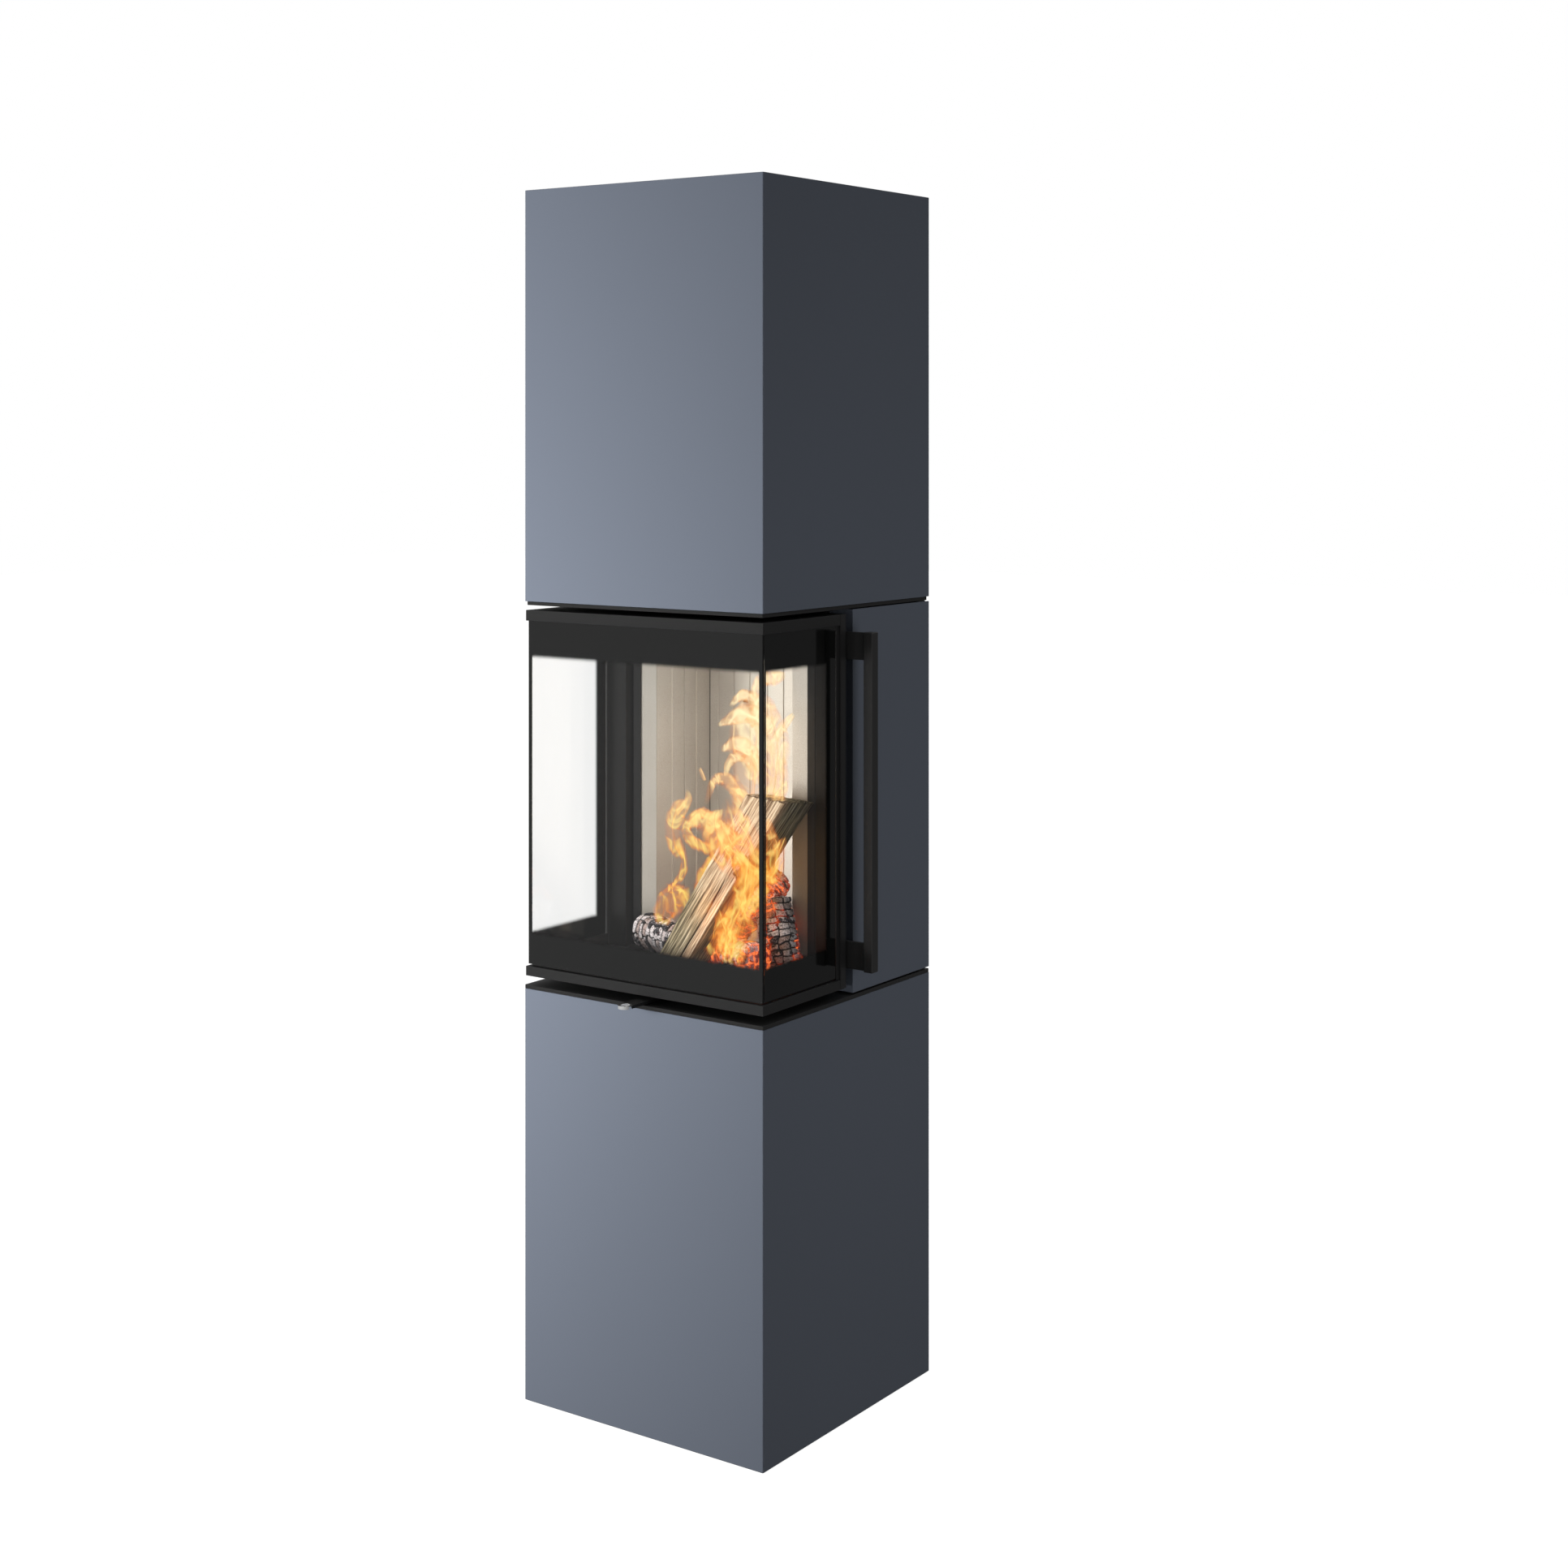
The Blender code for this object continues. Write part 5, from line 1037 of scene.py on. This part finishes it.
# Each tongue: name, how deep it stands, and its middle line as how far across, how high and half its width
FLAMES = (
    ("veil", -0.030, (
        (0.046, 0.845, 0.045), (0.046, 0.917, 0.050), (0.047, 0.983, 0.047), (0.051, 1.042, 0.047),
        (0.055, 1.094, 0.045), (0.052, 1.138, 0.032), (0.042, 1.164, 0.011),
    )),
    ("lobe", -0.070, (
        (0.071, 1.087, 0.012), (0.063, 1.119, 0.021), (0.045, 1.135, 0.022), (0.023, 1.127, 0.016),
        (0.007, 1.120, 0.009), (-0.006, 1.115, 0.003),
    )),
    ("arc", -0.050, (
        (0.061, 1.110, 0.013), (0.057, 1.145, 0.016), (0.040, 1.160, 0.013), (0.024, 1.156, 0.009),
        (0.013, 1.142, 0.004),
    )),
    ("crown", -0.040, (
        (0.058, 1.148, 0.007), (0.055, 1.173, 0.010), (0.066, 1.186, 0.014), (0.084, 1.189, 0.014),
        (0.101, 1.193, 0.005),
    )),
    ("lick_one", -0.080, (
        (0.056, 1.042, 0.013), (0.044, 1.075, 0.019), (0.021, 1.085, 0.016), (-0.001, 1.077, 0.005),
    )),
    ("lick_two", -0.060, (
        (0.062, 1.016, 0.012), (0.050, 1.055, 0.017), (0.029, 1.064, 0.013), (0.012, 1.051, 0.009),
        (0.007, 1.030, 0.004),
    )),
    ("lick_three", -0.030, (
        (0.037, 0.983, 0.014), (0.020, 1.009, 0.018), (0.000, 1.021, 0.014), (-0.017, 1.012, 0.009),
        (-0.026, 0.980, 0.004),
    )),
    ("right_veil", -0.080, (
        (0.076, 0.978, 0.018), (0.083, 1.029, 0.023), (0.087, 1.081, 0.023), (0.079, 1.127, 0.016),
        (0.073, 1.162, 0.006),
    )),
    ("right_wisp", -0.050, (
        (0.083, 1.088, 0.008), (0.099, 1.113, 0.009), (0.113, 1.131, 0.004),
    )),
    ("right_lick", -0.100, (
        (0.088, 0.994, 0.012), (0.096, 1.030, 0.014), (0.095, 1.071, 0.006),
    )),
    ("spark", -0.020, (
        (-0.027, 1.018, 0.003), (-0.031, 1.027, 0.004), (-0.036, 1.039, 0.003),
    )),
    ("strand", -0.020, (
        (-0.103, 0.831, 0.004), (-0.078, 0.849, 0.007), (-0.064, 0.869, 0.008), (-0.062, 0.891, 0.008),
        (-0.069, 0.915, 0.009),
    )),
    ("branch", -0.020, (
        (-0.064, 0.891, 0.009), (-0.076, 0.915, 0.016), (-0.082, 0.942, 0.017), (-0.074, 0.968, 0.017),
        (-0.057, 0.986, 0.009), (-0.057, 1.004, 0.004),
    )),
    ("ring", -0.030, (
        (-0.011, 0.906, 0.012), (-0.032, 0.913, 0.012), (-0.051, 0.924, 0.012), (-0.059, 0.943, 0.011),
        (-0.050, 0.959, 0.011), (-0.030, 0.967, 0.011), (-0.013, 0.955, 0.008),
    )),
    ("glow", 0.000, (
        (-0.099, 0.779, 0.012), (-0.094, 0.806, 0.024), (-0.075, 0.822, 0.032), (-0.054, 0.835, 0.013),
    )),
    ("middle", -0.130, (
        (0.038, 0.870, 0.015), (0.019, 0.906, 0.026), (0.004, 0.939, 0.028), (-0.008, 0.970, 0.018),
        (0.006, 0.988, 0.006),
    )),
    ("heart", -0.140, (
        (0.067, 0.885, 0.023), (0.042, 0.913, 0.033), (0.022, 0.936, 0.028), (0.005, 0.964, 0.014),
    )),
    ("small", -0.050, (
        (-0.028, 0.837, 0.009), (-0.031, 0.865, 0.014), (-0.023, 0.886, 0.009), (-0.019, 0.902, 0.003),
    )),
    ("right_tip", -0.110, (
        (0.079, 0.867, 0.018), (0.083, 0.900, 0.021), (0.093, 0.926, 0.013), (0.101, 0.941, 0.004),
    )),
    ("right_arm", -0.120, (
        (0.074, 0.912, 0.012), (0.077, 0.943, 0.013), (0.072, 0.974, 0.005),
    )),
    ("base", -0.130, (
        (0.019, 0.747, 0.036), (0.022, 0.787, 0.044), (0.035, 0.829, 0.044), (0.054, 0.870, 0.038),
        (0.065, 0.906, 0.019),
    )),
    ("base_left", -0.120, (
        (-0.011, 0.755, 0.015), (-0.011, 0.791, 0.022), (0.000, 0.827, 0.023), (0.015, 0.861, 0.015),
        (0.030, 0.889, 0.006),
    )),
    ("stream", -0.150, (
        (0.007, 0.751, 0.006), (0.012, 0.779, 0.009), (0.017, 0.805, 0.008), (0.012, 0.833, 0.005),
    )),
    ("swirl", -0.100, (
        (0.048, 0.896, 0.021), (0.018, 0.924, 0.030), (-0.011, 0.950, 0.030), (-0.034, 0.965, 0.019),
        (-0.055, 0.958, 0.006),
    )),
    ("wrap", -0.150, (
        (0.031, 0.810, 0.018), (0.048, 0.861, 0.031), (0.051, 0.912, 0.033), (0.035, 0.963, 0.025),
        (0.016, 1.002, 0.010),
    )),
    ("wrap_low", -0.160, (
        (0.003, 0.762, 0.015), (0.015, 0.800, 0.025), (0.031, 0.841, 0.030), (0.043, 0.882, 0.020),
        (0.048, 0.921, 0.008),
    )),
    ("curl", -0.140, (
        (0.060, 0.859, 0.015), (0.081, 0.888, 0.017), (0.090, 0.921, 0.011), (0.078, 0.949, 0.009),
        (0.070, 0.972, 0.004),
    )),
    ("side_lick", -0.060, (
        (-0.023, 0.818, 0.010), (-0.031, 0.847, 0.017), (-0.022, 0.878, 0.014), (-0.010, 0.907, 0.009),
        (-0.005, 0.927, 0.004),
    )),
    ("foot_fire", -0.170, (
        (0.014, 0.753, 0.023), (0.019, 0.782, 0.030), (0.007, 0.812, 0.020), (-0.002, 0.837, 0.008),
    )),
)
flame = flame_material()
for name, depth, path in FLAMES:
    bm = bmesh.new()
    bm.loops.layers.uv.new("sheet")
    flame_sheet(bm, path, depth)
    flame_sheet(bm, path, depth + SECOND_SHIFT, turn=SECOND_TURN, cup=SECOND_CUP)
    tongue = object_from("flame_" + name, bm, flame)
    tongue.visible_shadow = False
    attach(tongue, "column")


# Fire light
# The flames light the logs and the boards behind them. Each lamp: name, place, watts and colour.
FIRE_SOFTNESS = 0.04
FIRE_LAMPS = (
    ("fire_low", (0.035, -0.02, 0.86), 0.18, (1.0, 0.94, 0.84)),
    ("fire_middle", (0.035, -0.02, 1.00), 0.20, (1.0, 0.96, 0.90)),
    ("fire_high", (0.035, -0.02, 1.15), 0.17, (1.0, 0.98, 0.94)),
    ("front_low", (-0.08, -0.20, 0.86), 0.35, (1.0, 0.90, 0.76)),
    ("front_middle", (-0.02, -0.17, 1.04), 0.72, (1.0, 0.97, 0.91)),
    ("front_high", (-0.02, -0.16, 1.15), 0.58, (1.0, 0.98, 0.95)),
    ("ember_light", (0.085, -0.165, 0.83), 0.40, (1.0, 0.42, 0.14)),
)
for name, spot, power, color in FIRE_LAMPS:
    glow = bpy.data.lights.new(name, "POINT")
    glow.energy = power
    glow.color = color
    glow.shadow_soft_size = FIRE_SOFTNESS
    lamp = bpy.data.objects.new(name, glow)
    bpy.context.scene.collection.objects.link(lamp)
    lamp.location = spot
    lamp.visible_camera = False
    lamp.visible_transmission = False
    lamp.visible_glossy = False
